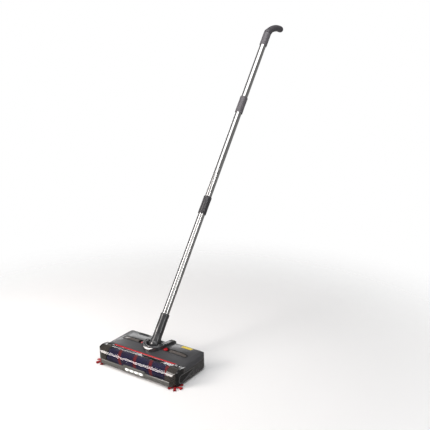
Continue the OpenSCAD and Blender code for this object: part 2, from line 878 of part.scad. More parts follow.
module power_switch() {
    color("#202020") translate([button_x, button_y, 0]) {
        block([-8, -5, switch_top - 6], [8, 5, switch_top]);
    }
    color("#d8d8d0") translate([button_x, button_y, switch_top]) cylinder(h = 1.8, r = 1.5);
}

module power_button() {
    color("#3a3a3e") {
        translate([0, 0, flange_z + 1]) linear_extrude(button_top - flange_z - 1)
            pill(button_x - button_len / 2, button_x + button_len / 2, button_y, button_w / 2);
        translate([0, 0, flange_z]) linear_extrude(2)
            pill(button_x - button_len / 2 - 2, button_x + button_len / 2 + 2, button_y, button_w / 2 + 2);
    }
}

module button_spring() {
    color("#b8b8bc") translate([button_x, button_y, switch_top]) difference() {
        cylinder(h = flange_z - switch_top, r = 4.6);
        translate([0, 0, -1]) cylinder(h = flange_z - switch_top + 2, r = 3.6);
    }
}

module housing_screws() {
    color("#b8b8bc") for (x = [-1, 1], y = screw_y) translate([x * screw_x, y, 0]) {
        translate([0, 0, ground_gap + 0.8]) cylinder(h = 2.2, r = 3);
        translate([0, 0, ground_gap + 2]) cylinder(h = 22, r = 1.5);
    }
}

module label_plate() {
    color("#e8c818") intersection() {
        block([label_x - label_w / 2, label_y - label_h / 2, 0],
            [label_x + label_w / 2, label_y + label_h / 2, far]);
        difference() {
            head_form(-0.4, split_z, far);
            head_form(0, 0, far);
        }
    }
}

module wheel_axles() {
    color("#c8c8cc") both() rod_x(wheel_x - wheel_w, wheel_x + wheel_w, wheel_y, wheel_r, axle_r);
}

module rear_wheel(side) {
    color("#1c1c1c") on_side(side) difference() {
        rod_x(wheel_x - wheel_w / 2, wheel_x + wheel_w / 2, wheel_y, wheel_r, wheel_r);
        rod_x(wheel_x - wheel_w, wheel_x + wheel_w, wheel_y, wheel_r, axle_r + fit);
        for (x = [wheel_x - wheel_w / 2 - 1, wheel_x + wheel_w / 2 - 1.5]) difference() {
            rod_x(x, x + 2.5, wheel_y, wheel_r, wheel_r - 3);
            rod_x(x - 1, x + 4, wheel_y, wheel_r, axle_r + 2.5);
        }
    }
}

// ---- window --------------------------------------------------------------------------

module brush_window() {
    color("#b8b8c0", 0.35) difference() {
        window_sheet(-roller_half, roller_half, bumper_z + 0.3);
        light_housing(gap);
    }
}

// the solid behind an end cap's outer face, taken in by d
module end_cap_form(d) {
    drop = roller_z - bumper_z / 2;
    intersection() {
        union() {
            window_form(roller_half - d, cheek_x - gap + d, window_r - d, d);
            block([roller_half - d, roller_y - window_r + d, roller_z - drop],
                [cheek_x - gap + d, roller_y - window_r / 2 + d, roller_z]);
        }
        linear_extrude(far) plan_outline(0.6 + d);
    }
}

module window_end_caps() {
    color("#2c2622", 0.7) both() difference() {
        intersection() {
            difference() {
                end_cap_form(0);
                end_cap_form(window_t);
            }
            union() {
                block([0, front_y, roller_z], [half_w, strip_y - 0.2, far]);
                block([0, front_y, ground_gap + 6.3], [half_w, brush_y - 6, roller_z]);
            }
        }
        block([0, front_y - 1, 0], [half_w - front_chamfer + 0.3, front_y + bumper_t + 0.3, bumper_z + 0.3]);
        block([latch_x - 3.3, latch_y - 3.3, roller_z],
            [latch_x + 3.3 + window_latch_travel, latch_y + 3.3, far]);
    }
}

module window_latch(side) {
    top = roller_z + window_r;
    color("#3a3634") on_side(side) {
        block([latch_x - 8, latch_y - 6, top + 0.1], [latch_x + 10, latch_y + 6, top + 2.4]);
        block([latch_x - 3, latch_y - 3, top - 5], [latch_x + 3, latch_y + 3, top + 0.1]);
        block([latch_x + 7, latch_y - 6, top + 2.4], [latch_x + 10, latch_y + 6, top + 3.6]);
    }
}

// ---- neck joint ----------------------------------------------------------------------

module tilt_pins() {
    color("#c8c8cc") both() rod_x(ball_r - 4, collar_r - 2, pivot_y, pivot_z, tilt_pin_r);
}

module swivel_block() {
    color("#2c2c30") pole_frame() difference() {
        union() {
            rotate([90, 0, 0]) cylinder(h = 2 * slot_half - 0.6, r = 11, center = true);
            rotate([0, 90, 0]) cylinder(h = 2 * collar_in_r - 1, r = arm_r, center = true);
        }
        rotate([90, 0, 0]) cylinder(h = far, r = swivel_pin_r + fit, center = true);
        both() translate([ball_r - 5, 0, 0]) rotate([0, 90, 0]) cylinder(h = far, r = tilt_pin_r + fit);
    }
}

module swivel_pin() {
    color("#c8c8cc") pole_frame() rotate([90, 0, 0])
        cylinder(h = 2 * (ball_r - 3), r = swivel_pin_r, center = true);
}

module neck_yoke() {
    color("#4a4a4e") pole_frame() difference() {
        union() {
            sphere(ball_r, $fn = 96);
            cylinder(h = yoke_top, r = neck_r);
            translate([0, 0, yoke_top]) cylinder(h = 24, r = neck_r - 4);
        }
        // slot for the swivel block and its arms
        translate([-ball_r - 1, -slot_half, -ball_r - 1]) cube([2 * ball_r + 2, 2 * slot_half, ball_r + 15]);
        rotate([90, 0, 0]) cylinder(h = 2 * (ball_r - 3), r = swivel_pin_r, center = true);
        translate([0, 0, yoke_top - 12]) cylinder(h = 60, r = neck_r - 7);
    }
}

module neck_sleeve() {
    color("#4a4a4e") pole_frame() difference() {
        translate([0, 0, yoke_top + 0.4]) cylinder(h = neck_top - yoke_top - 0.4, r = neck_r);
        translate([0, 0, yoke_top - 1]) cylinder(h = 27, r = neck_r - 4);
        translate([0, 0, yoke_top + 26]) cylinder(h = 100, r = tube_r);
        // arrow notch at the seam
        translate([neck_r, 0, yoke_top + 0.4]) rotate([0, 45, 0]) cube([3, 6, 3], center = true);
    }
}

// ---- pole and handle -----------------------------------------------------------------

module lower_tube() {
    color("#d8d8dc") pole_frame() pole_tube(yoke_top + 28, coupler_1 - 2, tube_r, tube_r - tube_t);
}

module middle_tube() {
    color("#d8d8dc") pole_frame() pole_tube(coupler_1 + 2, coupler_2 - 2, tube_r, tube_r - tube_t);
}

module upper_tube() {
    color("#d8d8dc") pole_frame() pole_tube(coupler_2 + 2, handle_start + tube_in, tube_r, tube_r - tube_t);
}

module coupler(at, tint) {
    color(tint) pole_frame() {
        pole_tube(at - coupler_len / 2, at + coupler_len / 2, coupler_r, tube_r);
        pole_tube(at - 2, at + 2, coupler_r - 1, tube_r - 2);
    }
}

module handle_sleeve() {
    color("#777379") pole_frame() difference() {
        translate([0, 0, handle_start]) cylinder(h = bend_at - handle_start, r = coupler_r - 0.1);
        translate([0, 0, handle_start - 1]) cylinder(h = tube_in + 1, r = tube_r);
        translate([0, 0, handle_start]) cylinder(h = bend_at, r = tube_r - 3);
        translate([0, 0, bend_at]) sphere(coupler_r);
    }
}

module handle_grip() {
    middle = [0, grip_bend_r * cos(grip_turn), bend_at - grip_bend_r * sin(grip_turn)];
    last = 180 - grip_turn - grip_arc;
    color("#5e5a60") pole_frame() {
        translate([0, 0, bend_at]) sphere(coupler_r);
        translate(middle) rotate([90, 0, 90]) {
            rotate(last) rotate_extrude(angle = grip_arc, $fn = 144)
                translate([grip_bend_r, 0]) circle(grip_r);
            rotate(last) translate([grip_bend_r, 0, 0]) rotate([90, 0, 0]) dome(grip_r);
        }
    }
}

// ---- nodes ---------------------------------------------------------------------------

base_housing();
top_cover();
neck_collar();
red_trim_strip();
front_bumper();
light_lens();
light_board();
side_panel(-1);  // side_panel_left
side_panel(1);  // side_panel_right
bin_bezel(-1);  // bin_bezel_left
bin_bezel(1);  // bin_bezel_right
bin_lens(-1);  // bin_lens_left
bin_lens(1);  // bin_lens_right
dust_bin(-1);  // dust_bin_left
dust_bin(1);  // dust_bin_right
dust_lip();
glide_pads();
battery_pack();
battery_door();
control_board();
charging_socket();
drive_motor();
drive_belt();
roller_bushes();
side_brush_motors();
power_switch();
button_spring();
housing_screws();
label_plate();
tilt_pins();
wheel_axles();
door_pins();
roller_core();
roller_sleeve();
roller_pulley();
motor_pulley();
side_brush(-1);  // side_brush_left
side_brush(1);  // side_brush_right
rear_wheel(-1);  // rear_wheel_left
rear_wheel(1);  // rear_wheel_right
bin_latch(-1);  // bin_latch_left
bin_latch(1);  // bin_latch_right
bin_door(-1);  // bin_door_left
bin_door(1);  // bin_door_right
power_button();
brush_window();
window_end_caps();
window_latch(-1);  // window_latch_left
window_latch(1);  // window_latch_right
swivel_block();
swivel_pin();
neck_yoke();
neck_sleeve();
lower_tube();
coupler(coupler_1, "#4e4c52");  // lower_coupler
middle_tube();
coupler(coupler_2, "#6f6a70");  // upper_coupler
upper_tube();
handle_sleeve();
handle_grip();
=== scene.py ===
"""Looks for the cordless floor sweeper: its shells, window, brush pile, bristles, tubes and grip,
with their finishes, on a plain floor in soft studio light. Metres; +Z up."""

import json
import math

import bmesh
import bpy
import numpy as np
from mathutils import Matrix, Vector


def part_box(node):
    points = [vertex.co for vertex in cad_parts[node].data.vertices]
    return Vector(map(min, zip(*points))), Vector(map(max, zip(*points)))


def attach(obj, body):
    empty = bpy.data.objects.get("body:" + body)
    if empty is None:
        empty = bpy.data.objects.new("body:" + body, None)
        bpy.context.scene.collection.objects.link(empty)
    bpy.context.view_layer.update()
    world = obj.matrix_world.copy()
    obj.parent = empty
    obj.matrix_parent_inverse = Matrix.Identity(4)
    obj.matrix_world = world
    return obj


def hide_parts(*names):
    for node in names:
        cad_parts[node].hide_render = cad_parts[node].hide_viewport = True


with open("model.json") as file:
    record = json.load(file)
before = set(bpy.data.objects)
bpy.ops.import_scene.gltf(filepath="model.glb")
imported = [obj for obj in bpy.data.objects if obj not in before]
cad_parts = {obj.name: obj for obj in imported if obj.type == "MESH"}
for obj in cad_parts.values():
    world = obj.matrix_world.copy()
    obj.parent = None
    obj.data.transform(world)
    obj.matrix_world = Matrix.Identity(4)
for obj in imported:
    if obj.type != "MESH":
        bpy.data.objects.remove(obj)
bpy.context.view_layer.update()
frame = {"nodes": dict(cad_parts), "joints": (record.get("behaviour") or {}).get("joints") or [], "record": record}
RECORD = frame["record"]
BODY_OF = {node: body for body, nodes in RECORD["behaviour"]["bodies"].items() for node in nodes}
JOINTS = {joint["name"]: joint for joint in frame["joints"]}
HANDS = ("left", "right")
X, Y, Z = np.eye(3)
FINISHES = {}
rng = np.random.default_rng(5)


# ---- mesh making ---------------------------------------------------------------------


def box_of(node):
    """A node's low corner, high corner, middle and half size."""
    low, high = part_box(node)
    return low, high, (low + high) / 2, (high - low) / 2


def circle(count):
    """That many angles, evenly round a circle."""
    return np.linspace(0, 2 * math.pi, count, endpoint=False)


def linked(name, mesh):
    """An object over a mesh, put in the scene."""
    piece = bpy.data.objects.new(name, mesh)
    bpy.context.scene.collection.objects.link(piece)
    return piece


def shaded(mesh, degrees):
    """Smooth shading that breaks at edges sharper than that."""
    mesh.polygons.foreach_set("use_smooth", np.full(len(mesh.polygons), True))
    mesh.set_sharp_from_angle(angle=math.radians(degrees))


def build_mesh(name, points, quads, tris, corner_uv=None):
    """An object from points (n, 3), quads (m, 4) and tris (k, 3) of point numbers. Corner_uv
    holds two numbers per face corner, quads first."""
    points = np.asarray(points, np.float32).reshape(-1, 3)
    quads = np.asarray(quads, np.int32).reshape(-1, 4)
    tris = np.asarray(tris, np.int32).reshape(-1, 3)
    mesh = bpy.data.meshes.new(name)
    corners = np.concatenate([quads.ravel(), tris.ravel()]).astype(np.int32)
    starts = np.concatenate([np.arange(len(quads)) * 4, len(quads) * 4 + np.arange(len(tris)) * 3])
    mesh.vertices.add(len(points))
    mesh.vertices.foreach_set("co", points.ravel())
    mesh.loops.add(len(corners))
    mesh.loops.foreach_set("vertex_index", corners)
    mesh.polygons.add(len(starts))
    mesh.polygons.foreach_set("loop_start", starts.astype(np.int32))
    mesh.update(calc_edges=True)
    mesh.polygons.foreach_set("use_smooth", np.full(len(starts), True))
    if corner_uv is not None:
        layer = mesh.uv_layers.new(name="UVMap")
        layer.data.foreach_set("uv", np.asarray(corner_uv, np.float32).ravel())
    mesh.validate()
    return linked(name, mesh)


def grid_quads(rows, cols, along=False):
    """Quads of a grid whose rows close around: (i, j), (i, j+1), (i+1, j+1), (i+1, j), with j
    taken modulo cols, and i modulo rows where the grid closes along too."""
    i, j = np.meshgrid(np.arange(rows if along else rows - 1), np.arange(cols), indexing="ij")
    i2, j2 = (i + 1) % rows, (j + 1) % cols
    return np.stack([i * cols + j, i * cols + j2, i2 * cols + j2, i2 * cols + j], -1).reshape(-1, 4)


def grid_uv(rows, cols, along):
    """The same corners as shares of the way: u runs around and v along, and neither jumps back
    where the grid closes."""
    n = rows if along else rows - 1
    i, j = np.meshgrid(np.arange(n), np.arange(cols), indexing="ij")
    u = np.stack([j, j + 1, j + 1, j], -1) / cols
    v = np.stack([i, i, i + 1, i + 1], -1) / n
    return np.stack([u, v], -1).reshape(-1, 2)


def inside_out(points, quads, tris):
    """True if the volume is negative: the sum over triangles of a . (b x c) / 6."""
    quads = np.asarray(quads, int).reshape(-1, 4)
    tris = np.asarray(tris, int).reshape(-1, 3)
    t = np.concatenate([quads[:, [0, 1, 2]], quads[:, [0, 2, 3]], tris])
    a, b, c = points[t[:, 0]], points[t[:, 1]], points[t[:, 2]]
    return float(np.einsum("ij,ij->i", a, np.cross(b, c)).sum()) < 0


def surface(name, grid, along=False, capped=False):
    """A mesh over grid points (rows, cols, 3) whose rows close around. Capped adds a middle point
    to the first and last row and a fan of triangles to it. A closed form is turned outwards."""
    rows, cols = grid.shape[:2]
    points = grid.reshape(-1, 3)
    quads, uv = grid_quads(rows, cols, along), grid_uv(rows, cols, along)
    tris = np.zeros((0, 3), int)
    if capped:
        j = np.arange(cols)
        k = (j + 1) % cols
        first, last = len(points), len(points) + 1
        points = np.concatenate([points, grid[0].mean(0)[None], grid[-1].mean(0)[None]])
        base = (rows - 1) * cols
        tris = np.concatenate([np.stack([k, j, np.full(cols, first)], -1),
                               np.stack([base + j, base + k, np.full(cols, last)], -1)])
        uv = np.concatenate([uv, np.repeat([[0.5, 0.0], [0.5, 1.0]], cols * 3, axis=0)])
    if (capped or along) and inside_out(points, quads, tris):
        quads, tris = quads[:, ::-1], tris[:, ::-1]
        split = len(quads) * 4
        uv = np.concatenate([uv[:split].reshape(-1, 4, 2)[:, ::-1].reshape(-1, 2), uv[split:]])
    return build_mesh(name, points, quads, tris, uv)


def rings(s, r, t, origin, axis, side):
    """Rings about an axis: origin + s axis + r (cos t side + sin t (axis x side)). R has a row
    for each s, of one radius or of one for each t."""
    ring = np.cos(t)[:, None] * side + np.sin(t)[:, None] * np.cross(axis, side)
    return np.asarray(origin, float) + s[:, None, None] * axis + r[..., None] * ring


def turned(name, profile, origin, axis, side, segments, **closing):
    """A turned form: each (s, r) of the profile becomes a ring about the axis."""
    s, r = np.asarray(profile, float).T
    return surface(name, rings(s, r[:, None], circle(segments), origin, axis, side), **closing)


def rounded(corners, radius, steps=4):
    """A profile with each inner corner replaced by an arc-like curve: the quadratic through the
    points a radius before the corner, the corner itself and a radius after it."""
    corners = np.asarray(corners, float)
    out = [corners[0]]
    t = np.linspace(0, 1, steps + 1)[:, None]
    for before, here, after in zip(corners[:-2], corners[1:-1], corners[2:]):
        back, ahead = before - here, after - here
        reach = min(radius, 0.45 * np.linalg.norm(back), 0.45 * np.linalg.norm(ahead))
        p = here + back / np.linalg.norm(back) * reach
        q = here + ahead / np.linalg.norm(ahead) * reach
        out.extend((1 - t) ** 2 * p + 2 * t * (1 - t) * here + t ** 2 * q)
    out.append(corners[-1])
    return np.array(out)


def ring_profile(corners, radius=0.0006):
    """A closed profile with all its corners eased, for hollow turned forms."""
    corners = np.asarray(corners, float)
    looped = np.concatenate([corners[-1:], corners, corners[:1]])
    return rounded(looped, radius, 3)[1:-1]


def finished(piece, node, finish):
    """Puts a made piece on its node's body, in place of the node, with a finish."""
    piece.data.materials.clear()
    piece.data.materials.append(FINISHES[finish])
    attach(piece, BODY_OF[node])
    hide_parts(node)


def added(piece, node, finish):
    """Puts a made piece on a node's body beside the node, with a finish."""
    piece.data.materials.clear()
    piece.data.materials.append(FINISHES[finish])
    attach(piece, BODY_OF[node])


def eased(node, finish, width):
    """A moulded copy of a node: its loose triangles joined, flat faces merged, and every edge
    sharper than 32 degrees rounded by a bevel of that width."""
    same_point, flat, sharp = 2e-6, math.radians(0.5), 32
    mesh = frame["nodes"][node].data.copy()
    mesh.name = node + "_moulded"
    work = bmesh.new()
    work.from_mesh(mesh)
    bmesh.ops.remove_doubles(work, verts=work.verts, dist=same_point)
    bmesh.ops.dissolve_limit(work, angle_limit=flat, verts=work.verts, edges=work.edges)
    work.to_mesh(mesh)
    work.free()
    shaded(mesh, sharp)
    piece = linked(node + "_moulded", mesh)
    if width:
        bevel = piece.modifiers.new("rounded_edges", "BEVEL")
        bevel.width = width
        bevel.segments = 2
        bevel.limit_method = "ANGLE"
        bevel.angle_limit = math.radians(sharp)
        bevel.miter_outer = "MITER_ARC"
        bevel.harden_normals = False
    finished(piece, node, finish)


# ---- finishes ------------------------------------------------------------------------


def put(tree, kind, values=(), **settings):
    """A node with its settings, and each value set on, or linked to, the input of that name."""
    node = tree.nodes.new("ShaderNode" + kind)
    for key, value in settings.items():
        setattr(node, key, value)
    for key, value in dict(values).items():
        if isinstance(value, bpy.types.NodeSocket):
            tree.links.new(value, node.inputs[key])
        else:
            node.inputs[key].default_value = value
    return node


def maths(tree, operation, a, b=0.0, c=0.0, clamp=False):
    """One Math node's result."""
    return put(tree, "Math", {0: a, 1: b, 2: c}, operation=operation, use_clamp=clamp).outputs[0]


def blend_colour(tree, share, a, b, mode="MIX"):
    """One colour Mix node's result."""
    return put(tree, "Mix", {0: share, 6: a, 7: b}, data_type="RGBA", blend_type=mode).outputs[2]


def noise(tree, at, scale, detail, rough=0.5):
    """One noise texture's value."""
    values = {"Vector": at, "Scale": scale, "Detail": detail, "Roughness": rough}
    return put(tree, "TexNoise", values).outputs[0]


def rescaled(tree, value, low, high, new_low=0.0, new_high=1.0):
    """The value, with low to high stretched to the new pair and held within it."""
    return put(tree, "MapRange", {0: value, 1: low, 2: high, 3: new_low, 4: new_high}).outputs[0]


def swung(tree, value, size, middle):
    """Middle + size (value - 0.5)."""
    return maths(tree, "MULTIPLY_ADD", maths(tree, "SUBTRACT", value, 0.5), size, middle)


def grey(tree, value):
    """A colour with that value in all three channels."""
    return put(tree, "CombineColor", {0: value, 1: value, 2: value}).outputs[0]


def bumped(tree, height, strength, distance):
    """The normal over a height."""
    return put(tree, "Bump", {"Height": height, "Strength": strength, "Distance": distance}).outputs[0]


def lit(tree, values):
    """A Principled shader with these values, sent to the material's output."""
    put(tree, "OutputMaterial", {0: put(tree, "BsdfPrincipled", values).outputs[0]})


def group(name, inputs, outputs):
    """An empty node group with its named inputs (name: (type, default)) and outputs; gives the
    tree, the input node's sockets and the output node."""
    tree = bpy.data.node_groups.new(name, "ShaderNodeTree")
    for key, (kind, default) in inputs.items():
        socket = tree.interface.new_socket(key, in_out="INPUT", socket_type="NodeSocket" + kind)
        if default is not None:
            socket.default_value = default
    for key, kind in outputs.items():
        tree.interface.new_socket(key, in_out="OUTPUT", socket_type="NodeSocket" + kind)
    return tree, tree.nodes.new("NodeGroupInput").outputs, tree.nodes.new("NodeGroupOutput")


def give(tree, result, **values):
    """Links each value to the group's output of that name, and gives the tree."""
    for key, value in values.items():
        tree.links.new(value, result.inputs[key])
    return tree


def make_moulded_skin():
    """Moulded plastic: slow clouds shift the colour and the gloss, fine grain gives the height,
    and a few long faint scuffs dull the gloss."""
    tree, given, result = group("moulded_skin", {
        "Vector": ("Vector", None), "Colour": ("Color", (0.1, 0.1, 0.1, 1)), "Mottle": ("Float", 0.1),
        "Grain Size": ("Float", 900.0), "Rough": ("Float", 0.3), "Rough Spread": ("Float", 0.08),
        "Scuffs": ("Float", 0.2)}, {"Colour": "Color", "Roughness": "Float", "Height": "Float"})
    at = given["Vector"]
    cloud = noise(tree, at, 11.0, 4.0, 0.6)
    grain = noise(tree, at, given["Grain Size"], 3.0)
    drawn = put(tree, "Mapping", {"Vector": at, "Rotation": (0.3, 0.1, 0.7), "Scale": (35.0, 620.0, 260.0)})
    scuff = rescaled(tree, noise(tree, drawn.outputs[0], 1.0, 2.0), 0.66, 0.74)
    scuff = maths(tree, "MULTIPLY", scuff, given["Scuffs"])
    shade = grey(tree, swung(tree, cloud, 2.0, 1.0))
    tone = blend_colour(tree, given["Mottle"], given["Colour"], shade, "MULTIPLY")
    tone = blend_colour(tree, maths(tree, "MULTIPLY", scuff, 0.25), tone, (0.45, 0.45, 0.45, 1))
    rough = swung(tree, cloud, given["Rough Spread"], given["Rough"])
    rough = maths(tree, "MULTIPLY_ADD", scuff, 0.2, rough, clamp=True)
    height = maths(tree, "MULTIPLY_ADD", scuff, -0.3, grain)
    return give(tree, result, Colour=tone, Roughness=rough, Height=height)


def make_floor_dust():
    """Dust that a floor tool picks up: a mask that fades out with height above the floor, broken
    by noise, lightens the colour and dulls the gloss."""
    tree, given, result = group("floor_dust", {
        "Vector": ("Vector", None), "Colour": ("Color", (0.1, 0.1, 0.1, 1)), "Roughness": ("Float", 0.4),
        "Reach": ("Float", 0.03), "Amount": ("Float", 0.3)}, {"Colour": "Color", "Roughness": "Float"})
    height = put(tree, "SeparateXYZ", {0: given["Vector"]}).outputs[2]
    low = maths(tree, "SUBTRACT", 1.0, maths(tree, "DIVIDE", height, given["Reach"]), clamp=True)
    speck = rescaled(tree, noise(tree, given["Vector"], 160.0, 6.0, 0.75), 0.42, 0.68)
    mask = maths(tree, "MULTIPLY", maths(tree, "MULTIPLY", low, speck), given["Amount"])
    tone = blend_colour(tree, mask, given["Colour"], (0.42, 0.39, 0.35, 1))
    rough = maths(tree, "MULTIPLY_ADD", mask, 0.5, given["Roughness"], clamp=True)
    return give(tree, result, Colour=tone, Roughness=rough)


def make_drawn_metal():
    """Drawn or turned metal: noise stretched along one direction gives fine lines in the gloss
    and the height, and slow clouds give faint tarnish."""
    tree, given, result = group("drawn_metal", {
        "Vector": ("Vector", None), "Colour": ("Color", (0.7, 0.7, 0.7, 1)), "Stretch": ("Vector", (1, 1, 1)),
        "Rough": ("Float", 0.15), "Rough Spread": ("Float", 0.1), "Tarnish": ("Float", 0.1)},
        {"Colour": "Color", "Roughness": "Float", "Height": "Float"})
    at = given["Vector"]
    pulled = put(tree, "VectorMath", {0: at, 1: given["Stretch"]}, operation="MULTIPLY").outputs[0]
    lines = noise(tree, pulled, 1.0, 5.0, 0.7)
    stain = rescaled(tree, noise(tree, at, 24.0, 5.0), 0.45, 0.75)
    stain = maths(tree, "MULTIPLY", stain, given["Tarnish"])
    tone = blend_colour(tree, stain, given["Colour"], (0.30, 0.27, 0.24, 1))
    rough = swung(tree, lines, given["Rough Spread"], given["Rough"])
    rough = maths(tree, "MULTIPLY_ADD", stain, 0.25, rough, clamp=True)
    return give(tree, result, Colour=tone, Roughness=rough, Height=lines)


SKIN, DUST, DRAWN = make_moulded_skin(), make_floor_dust(), make_drawn_metal()


def blank(name):
    """An empty material, as its tree and its object coordinates to build on."""
    material = bpy.data.materials.new(name)
    material.use_nodes = True
    tree = material.node_tree
    tree.nodes.clear()
    FINISHES[name] = material
    return tree, put(tree, "TexCoord").outputs["Object"]


def plastic(name, colour, rough=0.3, spread=0.08, grain=900.0, depth=0.15, mottle=0.12, scuffs=0.2,
            coat=0.0, dust=0.0, sheen=0.0, coat_rough=0.06, patch=None):
    """A moulded plastic or rubber finish. A patch is (colour, tests): it lies where the product
    of its tests, each a steep step (axis, from, to) of a coordinate's distance from zero, is 1."""
    tree, at = blank(name)
    skin = put(tree, "Group", {"Vector": at, "Colour": (*colour, 1), "Mottle": mottle, "Grain Size": grain,
                               "Rough": rough, "Rough Spread": spread, "Scuffs": scuffs}, node_tree=SKIN)
    tone, gloss = skin.outputs["Colour"], skin.outputs["Roughness"]
    if dust:
        film = put(tree, "Group", {"Vector": at, "Colour": tone, "Roughness": gloss, "Amount": dust},
                   node_tree=DUST)
        tone, gloss = film.outputs["Colour"], film.outputs["Roughness"]
    if patch:
        parts = put(tree, "SeparateXYZ", {0: at})
        share = 1.0
        for axis, start, end in patch[1]:
            far = maths(tree, "ABSOLUTE", parts.outputs[axis])
            share = maths(tree, "MULTIPLY", share, rescaled(tree, far, start, end))
        tone = blend_colour(tree, share, tone, (*patch[0], 1))
    normal = bumped(tree, skin.outputs["Height"], depth, 0.0002)
    lit(tree, {"Base Color": tone, "Roughness": gloss, "Normal": normal, "Coat Weight": coat,
               "Coat Roughness": coat_rough, "Sheen Weight": sheen})


def metal(name, colour, rough, spread, stretch, tarnish, depth=0.1):
    """A drawn, turned or plated metal finish."""
    tree, at = blank(name)
    drawn = put(tree, "Group", {"Vector": at, "Colour": (*colour, 1), "Stretch": stretch, "Rough": rough,
                                "Rough Spread": spread, "Tarnish": tarnish}, node_tree=DRAWN).outputs
    lit(tree, {"Base Color": drawn["Colour"], "Metallic": 1.0, "Roughness": drawn["Roughness"],
               "Normal": bumped(tree, drawn["Height"], depth, 0.0001)})


def clear_plastic(name, colour, rough, clouds, lets_light, ior=1.3, coat=0.0, clear=1.0):
    """A clear or smoked moulding: glass whose gloss varies a little, with plain passage for
    light from lamps so that what is behind it stays lit."""
    tree, at = blank(name)
    skin = put(tree, "Group", {"Vector": at, "Colour": (*colour, 1), "Mottle": clouds, "Rough": rough,
                               "Rough Spread": rough, "Scuffs": 0.05, "Grain Size": 300.0},
               node_tree=SKIN).outputs
    body = put(tree, "BsdfPrincipled", {
        "Base Color": skin["Colour"], "Roughness": skin["Roughness"], "IOR": ior, "Coat Weight": coat,
        "Transmission Weight": clear, "Normal": bumped(tree, skin["Height"], 0.01, 0.0002),
        "Coat Roughness": 0.03})
    through = put(tree, "BsdfTransparent", {"Color": (*lets_light, 1)})
    shadow = put(tree, "LightPath").outputs["Is Shadow Ray"]
    mixed = put(tree, "MixShader", {0: shadow, 1: body.outputs[0], 2: through.outputs[0]})
    put(tree, "OutputMaterial", {0: mixed.outputs[0]})


def pile_finish(name):
    """The brush pile: one red spiral band on navy, read from the sleeve's own coordinates, with two noises that
    multiply its colour as painted shade at the fibres' roots and painted light on their tips."""
    navy, red = (0.0042, 0.0030, 0.026, 1), (0.125, 0.003, 0.004, 1)
    tree, at = blank(name)
    turns = put(tree, "SeparateXYZ", {0: put(tree, "TexCoord").outputs["UV"]}).outputs[0]
    phase = maths(tree, "FRACT", turns)
    band = maths(tree, "MULTIPLY", rescaled(tree, phase, 0.18, 0.205, 1.0, 0.0),
                 rescaled(tree, phase, 0.0, 0.025))
    fibre, clump = noise(tree, at, 1500.0, 3.0, 0.8), noise(tree, at, 260.0, 4.0)
    # Painted shade and painted light: fibre and clump noise darken and lighten the pile's colour, in place of
    # shade between the fibres and light on their tips.
    deep = maths(tree, "MULTIPLY", rescaled(tree, clump, 0.3, 0.7, 0.45, 1.35),
                 rescaled(tree, fibre, 0.3, 0.7, 0.6, 1.4))
    tone = blend_colour(tree, 1.0, blend_colour(tree, band, navy, red), grey(tree, deep), "MULTIPLY")
    lit(tree, {"Base Color": tone, "Normal": bumped(tree, fibre, 0.6, 0.0006), "Roughness": 0.85,
               "Sheen Weight": 0.06, "Sheen Roughness": 0.5, "Specular IOR Level": 0.2})


def lamp_finish(name, half_length, lobes):
    """The frosted lens over the lights: it glows white, most in front of each emitter, by a
    cosine along X between the two ends."""
    tree, at = blank(name)
    across = put(tree, "SeparateXYZ", {0: at}).outputs[0]
    turns = maths(tree, "MULTIPLY", maths(tree, "ADD", across, half_length), math.pi * lobes / half_length)
    glow = rescaled(tree, maths(tree, "COSINE", turns), 1.0, -1.0, 0.12)
    frost = noise(tree, at, 700.0, 2.0)
    glow = maths(tree, "MULTIPLY", glow, rescaled(tree, frost, 0.2, 0.8, 0.9, 1.05))
    light = put(tree, "CombineColor", {0: glow, 1: glow, 2: maths(tree, "MULTIPLY", glow, 0.98)}).outputs[0]
    lit(tree, {"Base Color": (0.45, 0.46, 0.44, 1), "Roughness": 0.3, "Emission Color": light,
               "Normal": bumped(tree, frost, 0.1, 0.0002), "Emission Strength": 1.3})


def board_finish(name):
    """A circuit board: green mask over paler copper tracks, drawn by a brick grid, with noise."""
    tree, at = blank(name)
    tracks = put(tree, "TexBrick", {
        "Vector": at, "Color1": (0.01, 0.09, 0.03, 1), "Color2": (0.012, 0.11, 0.04, 1),
        "Mortar": (0.05, 0.22, 0.08, 1), "Scale": 260.0, "Mortar Size": 0.06}).outputs
    skin = put(tree, "Group", {"Vector": at, "Colour": tracks[0]}, node_tree=SKIN).outputs
    lit(tree, {"Base Color": skin["Colour"], "Roughness": skin["Roughness"],
               "Normal": bumped(tree, tracks[1], 0.3, 0.0001)})


plastic("cover_gloss", (0.052, 0.052, 0.056), rough=0.30, spread=0.06, grain=500.0, depth=0.02, mottle=0.08,
        scuffs=0.06, coat=0.5, coat_rough=0.18)
plastic("housing_gloss", (0.055, 0.053, 0.053), rough=0.26, spread=0.06, grain=600.0, depth=0.03, scuffs=0.08,
        coat=0.6, dust=0.07, patch=((0.006, 0.006, 0.006), ((0, 0.152, 0.153), (1, 0.052, 0.060))))
plastic("panel_gloss", (0.012, 0.012, 0.012), rough=0.20, spread=0.06, grain=700.0, depth=0.03, scuffs=0.10,
        coat=0.8, patch=((0.10, 0.10, 0.10), ((0, 0.16490, 0.16500),)))
plastic("neck_gloss", (0.046, 0.046, 0.049), rough=0.17, spread=0.05, grain=600.0, depth=0.02, scuffs=0.08,
        coat=0.9)
plastic("bumper_satin", (0.105, 0.104, 0.096), rough=0.25, grain=1400.0, depth=0.10, scuffs=0.15, coat=0.5,
        coat_rough=0.12, dust=0.10)
plastic("trim_gloss_red", (0.55, 0.010, 0.018), rough=0.22, grain=700.0, depth=0.03, coat=0.8)
plastic("catch_dark", (0.018, 0.017, 0.016), rough=0.25, grain=900.0, depth=0.08, coat=0.5)
plastic("bezel_black", (0.006, 0.006, 0.006), rough=0.50, grain=700.0, depth=0.10)
plastic("bin_satin", (0.035, 0.035, 0.038), rough=0.45, grain=1200.0, depth=0.25, dust=0.4)
